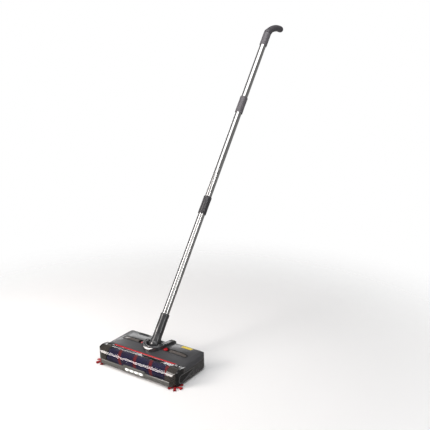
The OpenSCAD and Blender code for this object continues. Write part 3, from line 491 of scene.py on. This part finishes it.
plastic("rubber_black", (0.014, 0.014, 0.014), rough=0.68, grain=1500.0, depth=0.4, scuffs=0.35, dust=0.6,
        sheen=0.1)
plastic("battery_film", (0.020, 0.080, 0.30), rough=0.28, grain=120.0, depth=0.25, mottle=0.2, coat=0.4)
plastic("part_black", (0.012, 0.012, 0.012), rough=0.4, grain=1200.0, depth=0.2)
plastic("button_satin", (0.008, 0.008, 0.009), rough=0.55, grain=1300.0, depth=0.25)
plastic("acetal_white", (0.62, 0.62, 0.58), rough=0.4, grain=900.0, depth=0.1)
plastic("bristle_red", (0.50, 0.004, 0.012), rough=0.42, grain=2200.0, depth=0.3, mottle=0.3, scuffs=0.0)
plastic("label_yellow", (0.80, 0.60, 0.03), rough=0.45, grain=1600.0, depth=0.15, mottle=0.06, scuffs=0.25)
plastic("joint_dark", (0.020, 0.020, 0.022), rough=0.3, grain=900.0, depth=0.1, coat=0.4)
plastic("coupler_satin", (0.050, 0.047, 0.052), rough=0.30, grain=1100.0, depth=0.15, coat=0.4)
plastic("handle_satin", (0.150, 0.140, 0.152), rough=0.38, grain=1200.0, depth=0.25, coat=0.1)
plastic("grip_satin", (0.095, 0.087, 0.098), rough=0.42, grain=1300.0, depth=0.35, coat=0.05)
metal("plain_steel", (0.50, 0.50, 0.52), rough=0.28, spread=0.15, stretch=(90, 900, 900), tarnish=0.25)
metal("bush_bronze", (0.50, 0.33, 0.14), rough=0.4, spread=0.15, stretch=(300, 300, 300), tarnish=0.3)
metal("tube_aluminium", (0.62, 0.62, 0.64), rough=0.30, spread=0.15, stretch=(60, 900, 900), tarnish=0.1)
metal("tube_chrome", (0.74, 0.73, 0.72), rough=0.09, spread=0.05, stretch=(1400, 90, 70), tarnish=0.04,
      depth=0.02)
clear_plastic("window_clear", (0.95, 0.95, 0.96), 0.010, 0.01, (0.88, 0.88, 0.90), ior=1.28)
clear_plastic("cap_smoked", (0.075, 0.066, 0.058), 0.08, 0.3, (0.30, 0.28, 0.26), coat=0.9, clear=0.5)
clear_plastic("bin_lens_tint", (0.15, 0.132, 0.122), 0.22, 0.1, (0.5, 0.47, 0.42), coat=0.15, clear=0.3)
pile_finish("roller_pile")
board_finish("circuit_board")


# ---- head ----------------------------------------------------------------------------


def collar_ridge(name, inset):
    """A round ridge along the collar's mouth: a circle carried along a horseshoe, which is a half
    circle round the pivot in front and two straight legs behind it. The legs sink towards their
    ends by the 1.5th power of the way."""
    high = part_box("neck_collar")[1]
    radius, below_top, leg, level, sink = 0.0018, 0.0012, 0.052, 0.012, 0.0072
    pivot_y = JOINTS["neck_tilt"]["pos_m"][1]
    reach = high.x - inset
    legs = np.linspace(leg, 0.0, 14)[:, None]
    turn = np.linspace(0, math.pi, 49)[1:-1]
    right = np.concatenate([np.full((14, 1), reach), pivot_y + legs], 1)
    bow = np.stack([reach * np.cos(turn), pivot_y - reach * np.sin(turn)], 1)
    left = np.concatenate([np.full((14, 1), -reach), pivot_y + legs[::-1]], 1)
    path = np.concatenate([right, bow, left])
    drop = np.clip((path[:, 1] - pivot_y - level) / (leg - level), 0, 1)
    z = high.z - below_top - sink * drop ** 1.5
    path = np.concatenate([path, z[:, None]], 1)
    ahead = np.gradient(path, axis=0)
    ahead /= np.linalg.norm(ahead, axis=1)[:, None]
    side = np.cross(ahead, Z)
    side /= np.linalg.norm(side, axis=1)[:, None]
    up = np.cross(side, ahead)
    t = circle(14)[None, :, None]
    grid = path[:, None] + radius * (np.cos(t) * side[:, None] + np.sin(t) * up[:, None])
    added(surface(name, grid, capped=True), "neck_collar", "neck_gloss")


def make_roller_pile():
    """The pile sleeve: radius = bristle radius less a soft end rounding, less the depth of waves
    that follow the spiral; u counts turns of the spiral, so the colour band follows it too."""
    _, high, mid, half = box_of("roller_sleeve")
    r, half, wall = half.z, high.x, 0.0048
    pitch, first_turn, tufts = 0.065, 0.1049, 21
    rows, cols = 320, 120
    x = np.linspace(-half, half, rows)
    t = circle(cols)
    phase = (x[:, None] + first_turn) / pitch - t[None] / (2 * math.pi)
    tuft = 0.5 + 0.5 * np.sin(2 * math.pi * phase * tufts)
    fuzz = rng.random((rows, cols))
    near_end = np.clip((half - np.abs(x)) / 0.004, 0, 1)[:, None]
    radius = r - 0.0009 * (1 - near_end) ** 2 - 0.00022 * tuft - 0.00035 * fuzz
    x = np.concatenate([x, [half, -half]])
    radius = np.concatenate([radius, np.full((2, cols), r - wall)])
    points = rings(x, radius, t, (0, mid.y, mid.z), X, Y).reshape(-1, 3)
    quads = grid_quads(rows + 2, cols, along=True)
    if inside_out(points, quads, ()):
        quads = quads[:, ::-1]
    i, j = quads // cols, quads % cols
    j = np.where((j == 0) & (j.max(1) == cols - 1)[:, None], cols, j)
    u = (x[i] + first_turn) / pitch - j / cols
    uv = np.stack([u, x[i] / half], -1).reshape(-1, 2)
    finished(build_mesh("roller_pile_sleeve", points, quads, (), uv), "roller_sleeve", "roller_pile")


def make_corner_bristles(hand):
    """A corner brush: a turned hub, and paired tufts of tapering nylon filaments. A filament
    runs out from the hub along its tuft's direction, spreads a little sideways with its length
    and droops by the square of it, and is a five-sided tube."""
    node, name = "side_brush_" + hand, "corner_bristles_" + hand
    low, high, _, half = box_of(node)
    centre = np.array(JOINTS["corner_brush_" + hand + "_spin"]["pos_m"][:2])
    reach, root = half.y - 0.0004, 0.0055
    arms, apart, each, steps, sides = 6, math.radians(6.0), 30, 6, 5
    aim = np.repeat(np.arange(arms), 2) * math.pi / 3 + np.tile([-1.0, 1.0], arms) * apart
    aim = np.repeat(aim, each)
    n = len(aim)
    spread = rng.uniform(-1, 1, n)
    lift = rng.uniform(-1, 1, n)
    length = reach * rng.uniform(0.93, 1.0, n)
    s = np.linspace(0, 1, steps)
    run = root + (length[:, None] - root) * s
    across = spread[:, None] * (0.0013 + 0.0019 * s ** 1.5)
    z = 0.0040 + lift[:, None] * (0.0007 + 0.0007 * s) - 0.0016 * s ** 2
    out = np.stack([np.cos(aim), np.sin(aim)], -1)
    over = np.stack([-np.sin(aim), np.cos(aim)], -1)
    xy = centre + run[..., None] * out[:, None] + across[..., None] * over[:, None]
    path = np.concatenate([xy, z[..., None]], -1)
    t = circle(sides)[None, :, None]
    thick = 0.00042 * (1 - 0.30 * s)
    over = np.concatenate([over, np.zeros((n, 1))], 1)
    ring = np.cos(t) * over[:, None] + np.sin(t) * Z
    tube = path[:, :, None] + thick[None, :, None, None] * ring[:, None]
    tip = path[:, -1:] + (path[:, -1:] - path[:, -2:-1]) * 0.04
    block = steps * sides + 1
    points = np.concatenate([tube.reshape(n, -1, 3), tip], 1).reshape(-1, 3)
    one = grid_quads(steps, sides)[:, ::-1]
    j, last = np.arange(sides), (steps - 1) * sides
    end = np.stack([last + j, np.full(sides, steps * sides), last + (j + 1) % sides], -1)
    first = np.arange(n)[:, None, None] * block
    quads, tris = (one[None] + first).reshape(-1, 4), (end[None] + first).reshape(-1, 3)
    if inside_out(points[:block] - points[:block].mean(0), one, end[:, ::-1]):
        quads = quads[:, ::-1]
    else:
        tris = tris[:, ::-1]
    piece = build_mesh(name, points, quads, tris)
    hub = rounded([(low.z + 0.0012, 0.0019), (low.z + 0.0008, 0.0072), (0.0056, 0.0078), (0.0058, 0.0028),
                   (high.z - 0.0002, 0.0026), (high.z, 0.0016)], 0.0006)
    added(turned(name + "_hub", hub, (*centre, 0.0), Z, X, 40, capped=True), node, "bristle_red")
    finished(piece, node, "bristle_red")


def make_window():
    """The clear window: a section that rises as an arc round the roller and leaves it along its
    tangent up to the trim strip, with a wall of even thickness and rounded lips, carried along
    X. In front of the lights its lower edge steps up over their housing, eased by a smooth step."""
    low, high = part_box("brush_window")
    middle = box_of("roller_sleeve")[2]
    y, z = middle.y, middle.z
    outer, wall, step_up = y - low.y, 0.002, 0.0064
    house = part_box("light_lens")[1].x + 0.0078
    end = np.array([high.y - y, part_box("top_cover")[1].z - z - 0.0101])
    a_top = math.atan2(end[1], end[0]) + math.acos(min(1, outer / np.linalg.norm(end)))
    x = np.concatenate([np.linspace(*span) for span in (
        (low.x, -house - 0.004, 30), (-house - 0.003, -house + 0.002, 9),
        (-house + 0.004, house - 0.004, 24), (house - 0.002, house + 0.003, 9),
        (house + 0.004, high.x, 30))])
    step = np.clip((house - np.abs(x)) / 0.003 + 0.5, 0, 1)
    foot = low.z - z + step_up * step * step * (3 - 2 * step)
    start = math.pi - np.arcsin(foot / outer)
    angle = start[:, None] + (a_top - start[:, None]) * np.linspace(0, 1, 46)
    arc = outer * np.stack([np.cos(angle), np.sin(angle)], -1)
    leave = outer * np.array([math.cos(a_top), math.sin(a_top)])
    tail = leave + (end - leave) * np.linspace(0, 1, 9)[1:, None]
    curve = np.concatenate([arc, np.broadcast_to(tail, (len(x), *tail.shape))], 1)
    along = np.gradient(curve, axis=1)
    along /= np.linalg.norm(along, axis=-1)[..., None]
    inward = np.stack([along[..., 1], -along[..., 0]], -1)
    centre = curve + inward * wall / 2
    t = np.linspace(0, math.pi, 7)[1:-1][None, :, None]
    lips = [centre[:, at] + sign * wall / 2 * (np.cos(t) * inward[:, at] - np.sin(t) * 0.5 * along[:, at])
            for at, sign in ((slice(-1, None), -1), (slice(0, 1), 1))]
    loop = np.concatenate([curve, lips[0], (curve + inward * wall)[:, ::-1], lips[1]], 1)
    stations = np.broadcast_to(x[:, None, None], (*loop.shape[:2], 1))
    grid = np.concatenate([stations, loop + np.array([y, z])], -1)
    piece = surface("window_sheet", grid)
    close_ends(piece, *grid.shape[:2])
    finished(piece, "brush_window", "window_clear")


def close_ends(piece, rows, cols):
    """Closes the two ends of a bent sheet with one row of quads each, from its outer line to its
    inner line, and turns the closed form outwards."""
    work = bmesh.new()
    work.from_mesh(piece.data)
    work.verts.ensure_lookup_table()
    for base in (0, (rows - 1) * cols):
        i, j = 0, cols - 1
        while j - i > 2:
            work.faces.new([work.verts[base + k] for k in (i, i + 1, j - 1, j)])
            i, j = i + 1, j - 1
        if j - i == 2:
            work.faces.new([work.verts[base + k] for k in (i, i + 1, j)])
    bmesh.ops.recalc_face_normals(work, faces=work.faces)
    work.to_mesh(piece.data)
    work.free()
    shaded(piece.data, 40)


def make_light_lens(lobes):
    """The lens over the lights: a long form whose front bulges once before each emitter. Its
    outline is a pill whose half height dips between the lobes by a cosine, and the bulge falls
    with the fourth power of the way to the rim."""
    low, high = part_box("light_lens")
    half, tall, z, deep = high.x, (high.z - low.z) / 2, (high.z + low.z) / 2, 0.0016
    cols, rows = 129, 33
    x = np.linspace(-half, half, cols)
    rim = np.sqrt(np.clip(1 - (np.clip(np.abs(x) - half + tall, 0, None) / tall) ** 2, 0.0004, 1))
    turn = math.pi * (x + half) * lobes / (2 * half)
    dip = 1 - 0.20 * (0.5 + 0.5 * np.cos(2 * turn)) * (np.abs(x) < half - tall)
    v = np.linspace(-1, 1, rows)[:, None]
    bulge = (1 - v ** 4) * (0.55 + 0.45 * np.abs(np.sin(turn))) * rim
    edge = tall * rim * dip
    front = np.stack([np.broadcast_to(x, (rows, cols)), low.y + deep - deep * bulge, z + v * edge], -1)
    back = np.stack([np.broadcast_to(x, (2, cols)), np.full((2, cols), high.y),
                     z + np.array([[1.0], [-1.0]]) * edge], -1)
    grid = np.concatenate([front, back]).transpose(1, 0, 2)
    finished(surface("light_lens_lobed", grid, capped=True), "light_lens", "lamp_glow")


def make_button():
    """The foot button: a pill-shaped cap whose top is slightly crowned, with a fine raised ring
    near its rim and a skirt below."""
    low, high, mid, half = box_of("power_button")
    rim, sides, skirt_top = 0.002, 128, 0.002
    r = half.y - rim
    t = circle(sides)
    unit = np.stack([np.cos(t), np.sin(t)], -1)
    shift = np.stack([np.clip(unit[:, 0] * 6, -1, 1) * (half.x - rim - r), 0 * t], -1)
    middle = np.array([mid.x, mid.y])
    k = np.array([0.02, 0.18, 0.34, 0.5, 0.66, 0.8, 0.9, 0.96, 0.99, 1.0, 1.0])[:, None]
    drop = np.array([0, 0, 0, 0, 0, 0, 0.0001, 0.0004, 0.0008, 0.0014, 0.0062])[:, None]
    top = high.z - 0.0006 - 0.0008 * (1 - k ** 2) + 0.0005 * np.exp(-((k - 0.80) / 0.07) ** 2) - drop
    plan = middle + k[..., None] * (shift + r * unit)
    cap = np.concatenate([plan, np.broadcast_to(top[..., None], (len(k), sides, 1))], -1)
    wide = middle + shift + (r + rim) * unit
    skirt = [np.concatenate([wide, np.full((sides, 1), z)], 1)[None] for z in (low.z + skirt_top, low.z)]
    piece = surface("foot_button_cap", np.concatenate([cap, *skirt]), capped=True)
    finished(piece, "power_button", "button_satin")


def make_wheel(hand):
    """A rear wheel: a hub and web turned about the axle, and a tyre whose radius drops in a narrow
    groove every fifteen degrees and rounds off at its shoulders."""
    node = "rear_wheel_" + hand
    _, _, mid, half = box_of(node)
    half, r, web, bore = half.x, half.z, 0.0013, 0.00206
    face = [(half, r - 0.0006), (half, r - 0.003), (half - web, r - 0.0035), (half - web, 0.0048),
            (half, 0.0044), (half, bore)]
    s, radius = ring_profile([*face, *[(-s, r) for s, r in face[::-1]]]).T
    t = circle(144)
    tread = (radius > r - 0.0008)[:, None] * (1 - np.abs(s / half)[:, None] ** 6 * 0.5)
    big = radius[:, None] + tread * 0.0006 * (np.cos(24 * t)[None] > -0.8)
    piece = surface(node + "_tyre", rings(s, big, t, mid, X, Y), along=True)
    shaded(piece.data, 38)
    finished(piece, node, "rubber_black")


# A star stands for left and then right.
for name, finish, width in [
        ("top_cover", "cover_gloss", 0.0009), ("neck_collar", "neck_gloss", 0.0010),
        ("base_housing", "housing_gloss", 0.0004), ("front_bumper", "bumper_satin", 0.0013),
        ("red_trim_strip", "trim_gloss_red", 0.0004), ("side_panel_*", "panel_gloss", 0.0),
        ("bin_bezel_*", "bezel_black", 0.0005), ("bin_lens_*", "bin_lens_tint", 0.0005),
        ("bin_latch_*", "trim_gloss_red", 0.0006), ("dust_bin_*", "bin_satin", 0.0003),
        ("bin_door_*", "bin_satin", 0.0004), ("battery_door", "bin_satin", 0.0004),
        ("dust_lip", "rubber_black", 0.0003), ("glide_pads", "rubber_black", 0.0008),
        ("drive_belt", "rubber_black", 0.0002), ("battery_pack", "battery_film", 0.0012),
        ("control_board", "circuit_board", 0.0002), ("light_board", "circuit_board", 0.0002),
        ("charging_socket", "part_black", 0.0003), ("power_switch", "part_black", 0.0003),
        ("drive_motor", "plain_steel", 0.0006), ("side_brush_motors", "plain_steel", 0.0004),
        ("roller_bushes", "bush_bronze", 0.0003), ("button_spring", "plain_steel", 0.0),
        ("housing_screws", "plain_steel", 0.0004), ("tilt_pins", "plain_steel", 0.0004),
        ("wheel_axles", "plain_steel", 0.0003), ("door_pins", "plain_steel", 0.0002),
        ("roller_core", "tube_aluminium", 0.0004), ("roller_pulley", "acetal_white", 0.0003),
        ("motor_pulley", "acetal_white", 0.0003), ("label_plate", "label_yellow", 0.0),
        ("window_end_caps", "cap_smoked", 0.0005), ("window_latch_*", "catch_dark", 0.0005),
        ("swivel_block", "joint_dark", 0.0005), ("swivel_pin", "plain_steel", 0.0004),
        ("neck_yoke", "neck_gloss", 0.0006)]:
    for hand in HANDS if "*" in name else ("",):
        eased(name.replace("*", hand), finish, width)

LOBES = 4
make_roller_pile()
make_window()
lamp_finish("lamp_glow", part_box("light_lens")[1].x, LOBES)
make_light_lens(LOBES)
make_button()
for hand in HANDS:
    make_corner_bristles(hand)
    make_wheel(hand)
collar_ridge("collar_outer_ridge", 0.0035)
collar_ridge("collar_inner_ridge", 0.0100)


# ---- pole ----------------------------------------------------------------------------

PIVOT = np.array(JOINTS["neck_swivel"]["pos_m"], float)
TILT = math.atan2(-JOINTS["neck_swivel"]["axis"][2], JOINTS["neck_swivel"]["axis"][1])
POLE = np.array([0.0, math.sin(TILT), math.cos(TILT)])
BACK = np.array([0.0, math.cos(TILT), -math.sin(TILT)])


def pole_span(node):
    """(start, end, radius) of a round node along the pole, from its box: its half width is the
    radius, and each end lies at (z -+ r sin tilt - pivot z) / cos tilt."""
    low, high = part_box(node)
    r = (high.x - low.x) / 2
    return ((low.z + r * math.sin(TILT) - PIVOT[2]) / math.cos(TILT),
            (high.z - r * math.sin(TILT) - PIVOT[2]) / math.cos(TILT), r)


def on_pole(name, profile, sharp=None):
    """A hollow form turned about the pole, with its edges left smooth unless told."""
    piece = turned(name, profile, PIVOT, POLE, X, 96, along=True)
    if sharp:
        shaded(piece.data, sharp)
    return piece


def make_tube(node):
    """A thin-walled tube with rolled ends, turned about the pole."""
    start, end, r = pole_span(node)
    inner, roll = r - 0.0008, 0.0003
    stations = np.linspace(start + 0.001, end - 0.001, 40)
    loop = [(start, r - roll), *[(s, r) for s in stations], (end, r - roll), (end, inner + 0.0001),
            *[(s, inner) for s in stations[::-8]], (start, inner + 0.0001)]
    finished(on_pole(node + "_plated", loop), node, "tube_chrome")


def make_coupler(node, finish):
    """A coupler: a sleeve with a chamfered lip at each end, a shallow groove near each lip and a
    slight waist, turned about the pole."""
    start, end, r = pole_span(node)
    groove = r - 0.0005
    lip = [(0, r - 0.0025), (0, r - 0.0010), (0.0014, r), (0.0060, r), (0.0064, groove), (0.0074, groove),
           (0.0078, r)]
    corners = [*[(start + s, radius) for s, radius in lip], ((start + end) / 2, r - 0.0003),
               *[(end - s, radius) for s, radius in lip[::-1]]]
    finished(on_pole(node + "_sleeve", ring_profile(corners), 40), node, finish)


def make_neck_sleeve():
    """The neck: a long sleeve with a seam lip at its foot, a gentle taper and a rounded collar
    ring at the top, turned about the pole, with a small rounded dent at the seam."""
    start, end, r = pole_span("neck_sleeve")
    bore = r - 0.0031
    corners = [(start, bore), (start, r - 0.0006), (start + 0.0009, r), (start + 0.020, r - 0.0001),
               (end - 0.012, r - 0.0005), (end - 0.0100, r - 0.0005), (end - 0.0090, r), (end - 0.0014, r),
               (end, r - 0.0012), (end, bore)]
    s, radius = ring_profile(corners, 0.0007).T[..., None]
    t = circle(160)
    round_from_side = np.where(t > math.pi, t - 2 * math.pi, t)
    dent = np.exp(-(round_from_side / 0.16) ** 2) * np.exp(-((s - start) / 0.004) ** 2)
    big = radius - 0.0011 * dent * (radius > bore + 0.001)
    piece = surface("neck_sleeve_shell", rings(s[:, 0], big, t, PIVOT, POLE, X), along=True)
    shaded(piece.data, 40)
    finished(piece, "neck_sleeve", "neck_gloss")


def make_yoke_bell():
    """The foot of the neck: a bell turned about the pole, whose radius falls from the ball's to
    the neck's by half a cosine wave."""
    start, _, neck = pole_span("neck_sleeve")
    low, high, wall = 0.007, start - 0.0004, 0.0016
    widest, narrowest = box_of("neck_yoke")[3].x - 0.0010, neck - 0.0002
    s = np.linspace(low, high, 26)
    share = 0.5 - 0.5 * np.cos(math.pi * (s - low) / (high - low))
    r = widest + (narrowest - widest) * share
    profile = [*zip(s, r), *zip(s[::-3], r[::-3] - wall)]
    added(on_pole("yoke_bell", profile, 50), "neck_yoke", "neck_gloss")


def make_handle_sleeve():
    """The handle's sleeve, turned about the pole with a lip and a groove at its foot."""
    start, bend, r = pole_span("handle_sleeve")
    corners = [(start, r - 0.0025), (start, r - 0.0010), (start + 0.0012, r), (start + 0.0050, r),
               (start + 0.0055, r - 0.0004), (start + 0.0065, r - 0.0004), (start + 0.0070, r),
               (bend - 0.004, r + 0.0001), (bend - 0.004, r - 0.005), (start + 0.022, r - 0.005)]
    piece = on_pole("handle_sleeve_shell", ring_profile(corners), 40)
    finished(piece, "handle_sleeve", "handle_satin")


def make_handle_grip():
    """The grip: an oval section carried along a straight stub and then an arc with the CAD's bend
    and radius. The section's half height swells in the palm and its underside steps in just after
    the bend; it closes over a rounded end, where the section shrinks by a quarter circle."""
    bend_at, curve, arc, turn = 1.262, 0.150, math.radians(40), math.radians(25)
    thick, cap_rows = 0.0128, 11
    angle = np.linspace(0, arc, 60)
    middle = np.array([curve * math.cos(turn), bend_at - curve * math.sin(turn)])
    out = math.pi - turn - angle
    line = middle + curve * np.stack([np.cos(out), np.sin(out)], -1)
    heading = np.stack([np.sin(out), -np.cos(out)], -1)
    lead = np.stack([np.zeros(10), np.linspace(bend_at - 0.0045, bend_at - 0.0005, 10)], -1)
    cap = np.linspace(0, math.pi / 2, cap_rows + 1)[1:]
    tail = line[-1] + thick * np.sin(cap)[:, None] * heading[-1]
    path = np.concatenate([lead, line, tail])
    aim = np.concatenate([np.tile([0.0, 1.0], (10, 1)), heading, np.tile(heading[-1], (cap_rows, 1))])
    eased_aim = aim.copy()
    for _ in range(6):
        eased_aim[1:-1] = (eased_aim[:-2] + 2 * eased_aim[1:-1] + eased_aim[2:]) / 4
        eased_aim[-cap_rows - 1:] = aim[-cap_rows - 1:]
    eased_aim /= np.linalg.norm(eased_aim, axis=1)[:, None]
    gone = np.concatenate([[0], np.cumsum(np.linalg.norm(np.diff(path, axis=0), axis=1))])
    size = np.maximum(np.concatenate([np.full(len(path) - cap_rows, 1.0), np.cos(cap)]), 0.03)
    palm = np.exp(-((gone - 0.062) / 0.030) ** 2)
    knob = np.exp(-(gone / 0.012) ** 2)
    step_in = 1 / (1 + np.exp(-(gone - 0.024) / 0.0012))
    wide = (thick + 0.0017 * knob + 0.0002 * palm) * size
    over = (thick + 0.0014 * knob) * size
    under = thick + 0.0017 * knob + 0.0006 * palm - 0.0012 * step_in
    under = (under + 0.0014 * (1 - step_in) * (gone > 0.004)) * size
    c, s = np.cos(circle(72)), np.sin(circle(72))
    normal = np.stack([-eased_aim[:, 1], eased_aim[:, 0]], -1)
    height = np.where(s[None] > 0, over[:, None], under[:, None]) * s
    yz = path[:, None] + height[..., None] * normal[:, None]
    x = wide[:, None] * c
    grid = PIVOT + x[..., None] * X + yz[..., :1] * BACK + yz[..., 1:] * POLE
    finished(surface("handle_grip_palm", grid, capped=True), "handle_grip", "grip_satin")


for name in ("lower_tube", "middle_tube", "upper_tube"):
    make_tube(name)
make_coupler("lower_coupler", "coupler_satin")
make_coupler("upper_coupler", "handle_satin")
make_neck_sleeve()
make_yoke_bell()
make_handle_sleeve()
make_handle_grip()


# ---- studio --------------------------------------------------------------------------


def make_floor():
    """A plain round floor under everything, as a grid of rings that grow outwards. It is white to
    the eye and fades into the room far out; glossy surfaces see it dim, as under a shaded stage."""
    below = -0.0002
    r = np.array([0.01, 0.6, 1.2, 2.0, 3.2])[:, None]
    grid = rings(np.zeros(5), r, circle(96), (0, 0, below), Z, X)
    rows, cols = grid.shape[:2]
    quads = grid_quads(rows, cols)[:, ::-1]
    j = np.arange(cols)
    tris = np.stack([np.full(cols, rows * cols), j, (j + 1) % cols], -1)
    points = np.concatenate([grid.reshape(-1, 3), [[0, 0, below]]])
    floor = build_mesh("studio_floor", points, quads, tris)
    tree, at = blank("floor_pale")
    tone = blend_colour(tree, noise(tree, at, 3.0, 3.0), (0.93, 0.93, 0.93, 1), (0.95, 0.95, 0.95, 1))
    glossy = put(tree, "LightPath").outputs["Is Glossy Ray"]
    tone = blend_colour(tree, glossy, tone, (0.16, 0.155, 0.15, 1))
    away = put(tree, "VectorMath", {0: at}, operation="LENGTH").outputs["Value"]
    fade = put(tree, "MapRange", {0: away, 1: 0.55, 2: 1.5, 3: 0.0, 4: 1.0},
               interpolation_type="SMOOTHSTEP").outputs[0]
    body = put(tree, "BsdfPrincipled", {"Base Color": tone, "Roughness": 0.7, "Specular IOR Level": 0.1})
    clear = put(tree, "BsdfTransparent")
    mixed = put(tree, "MixShader", {0: fade, 1: body.outputs[0], 2: clear.outputs[0]})
    put(tree, "OutputMaterial", {0: mixed.outputs[0]})
    floor.data.materials.append(FINISHES["floor_pale"])


def make_lamp(name, place, target, width, height, radiance, colour=(1, 1, 1)):
    """A soft rectangular lamp that looks at a point; its power is pi times its area times its
    brightness. The camera doesn't see it."""
    lamp = bpy.data.lights.new(name, "AREA")
    lamp.shape = "RECTANGLE"
    lamp.size, lamp.size_y, lamp.color = width, height, colour
    lamp.energy = math.pi * width * height * radiance
    holder = linked(name, lamp)
    holder.visible_camera = False
    holder.location = place
    holder.rotation_euler = (Vector(target) - Vector(place)).to_track_quat("-Z", "Y").to_euler()


def make_world():
    """The room: white to the camera; to everything else a pale horizon, a darker middle and a
    lighter zenith, by the height of the direction looked in."""
    world = bpy.data.worlds.new("soft_room")
    world.use_nodes = True
    tree = world.node_tree
    tree.nodes.clear()
    height = put(tree, "SeparateXYZ", {0: put(tree, "TexCoord").outputs["Generated"]}).outputs[2]
    ramp = put(tree, "ValToRGB", {0: height})
    stops = ramp.color_ramp.elements
    stops[0].position, stops[0].color = 0.0, (0.20, 0.20, 0.20, 1)
    stops[1].position, stops[1].color = 1.0, (0.40, 0.40, 0.41, 1)
    for place, value in ((0.15, 0.22), (0.45, 0.16), (0.75, 0.20)):
        stops.new(place).color = (value, value, value, 1)
    seen = put(tree, "Background", {"Color": (1.0, 1.0, 1.0, 1), "Strength": 1.0})
    felt = put(tree, "Background", {"Color": ramp.outputs[0], "Strength": 1.0})
    camera = put(tree, "LightPath").outputs["Is Camera Ray"]
    mixed = put(tree, "MixShader", {0: camera, 1: felt.outputs[0], 2: seen.outputs[0]})
    put(tree, "OutputWorld", {0: mixed.outputs[0]})
    bpy.context.scene.world = world


def make_camera():
    """The camera, from its place, azimuth, elevation and roll, with no shift."""
    place = Vector((1.19646, -1.38328, 0.98223))
    azimuth, elevation, roll = (math.radians(v) for v in (34.24, 14.64, -1.03))
    flat = math.cos(elevation)
    back = Vector((math.sin(azimuth) * flat, -math.cos(azimuth) * flat, math.sin(elevation)))
    right = Vector((math.cos(azimuth), math.sin(azimuth), 0))
    up = back.cross(right)
    turned_right = right * math.cos(roll) + up * math.sin(roll)
    turned_up = up * math.cos(roll) - right * math.sin(roll)
    data = bpy.data.cameras.new("studio_camera")
    data.sensor_width, data.lens = 36.0, 50.23
    data.clip_start, data.clip_end = 0.05, 60.0
    camera = linked("studio_camera", data)
    pose = Matrix((turned_right, turned_up, back)).transposed().to_4x4()
    pose.translation = place
    camera.matrix_world = pose
    bpy.context.scene.camera = camera


make_floor()
make_world()
make_lamp("window_softbox", (-0.90, -1.18, 0.74), (0.03, -0.09, 0.045), 0.84, 0.52, 12.0, (1.0, 0.93, 0.89))
make_lamp("left_tall_softbox", (-0.95, -1.22, 1.75), (0.0, 0.1, 0.5), 0.60, 1.5, 5.0, (1.0, 0.95, 0.92))
make_lamp("back_left_softbox", (-1.75, 1.75, 0.80), (0.0, 0.0, 0.05), 1.7, 0.46, 2.6)
make_lamp("right_thin_strip", (1.7, -0.35, 1.0), (0.0, 0.2, 0.4), 0.16, 2.0, 7.0)
make_lamp("front_fill", (1.2, -1.3, 2.1), (0.0, 0.2, 0.4), 1.0, 0.8, 1.0)
make_lamp("top_fill", (0.3, 0.1, 2.7), (0.0, 0.1, 0.0), 2.2, 2.2, 1.9)
bpy.context.scene.view_settings.view_transform = "Standard"
make_camera()
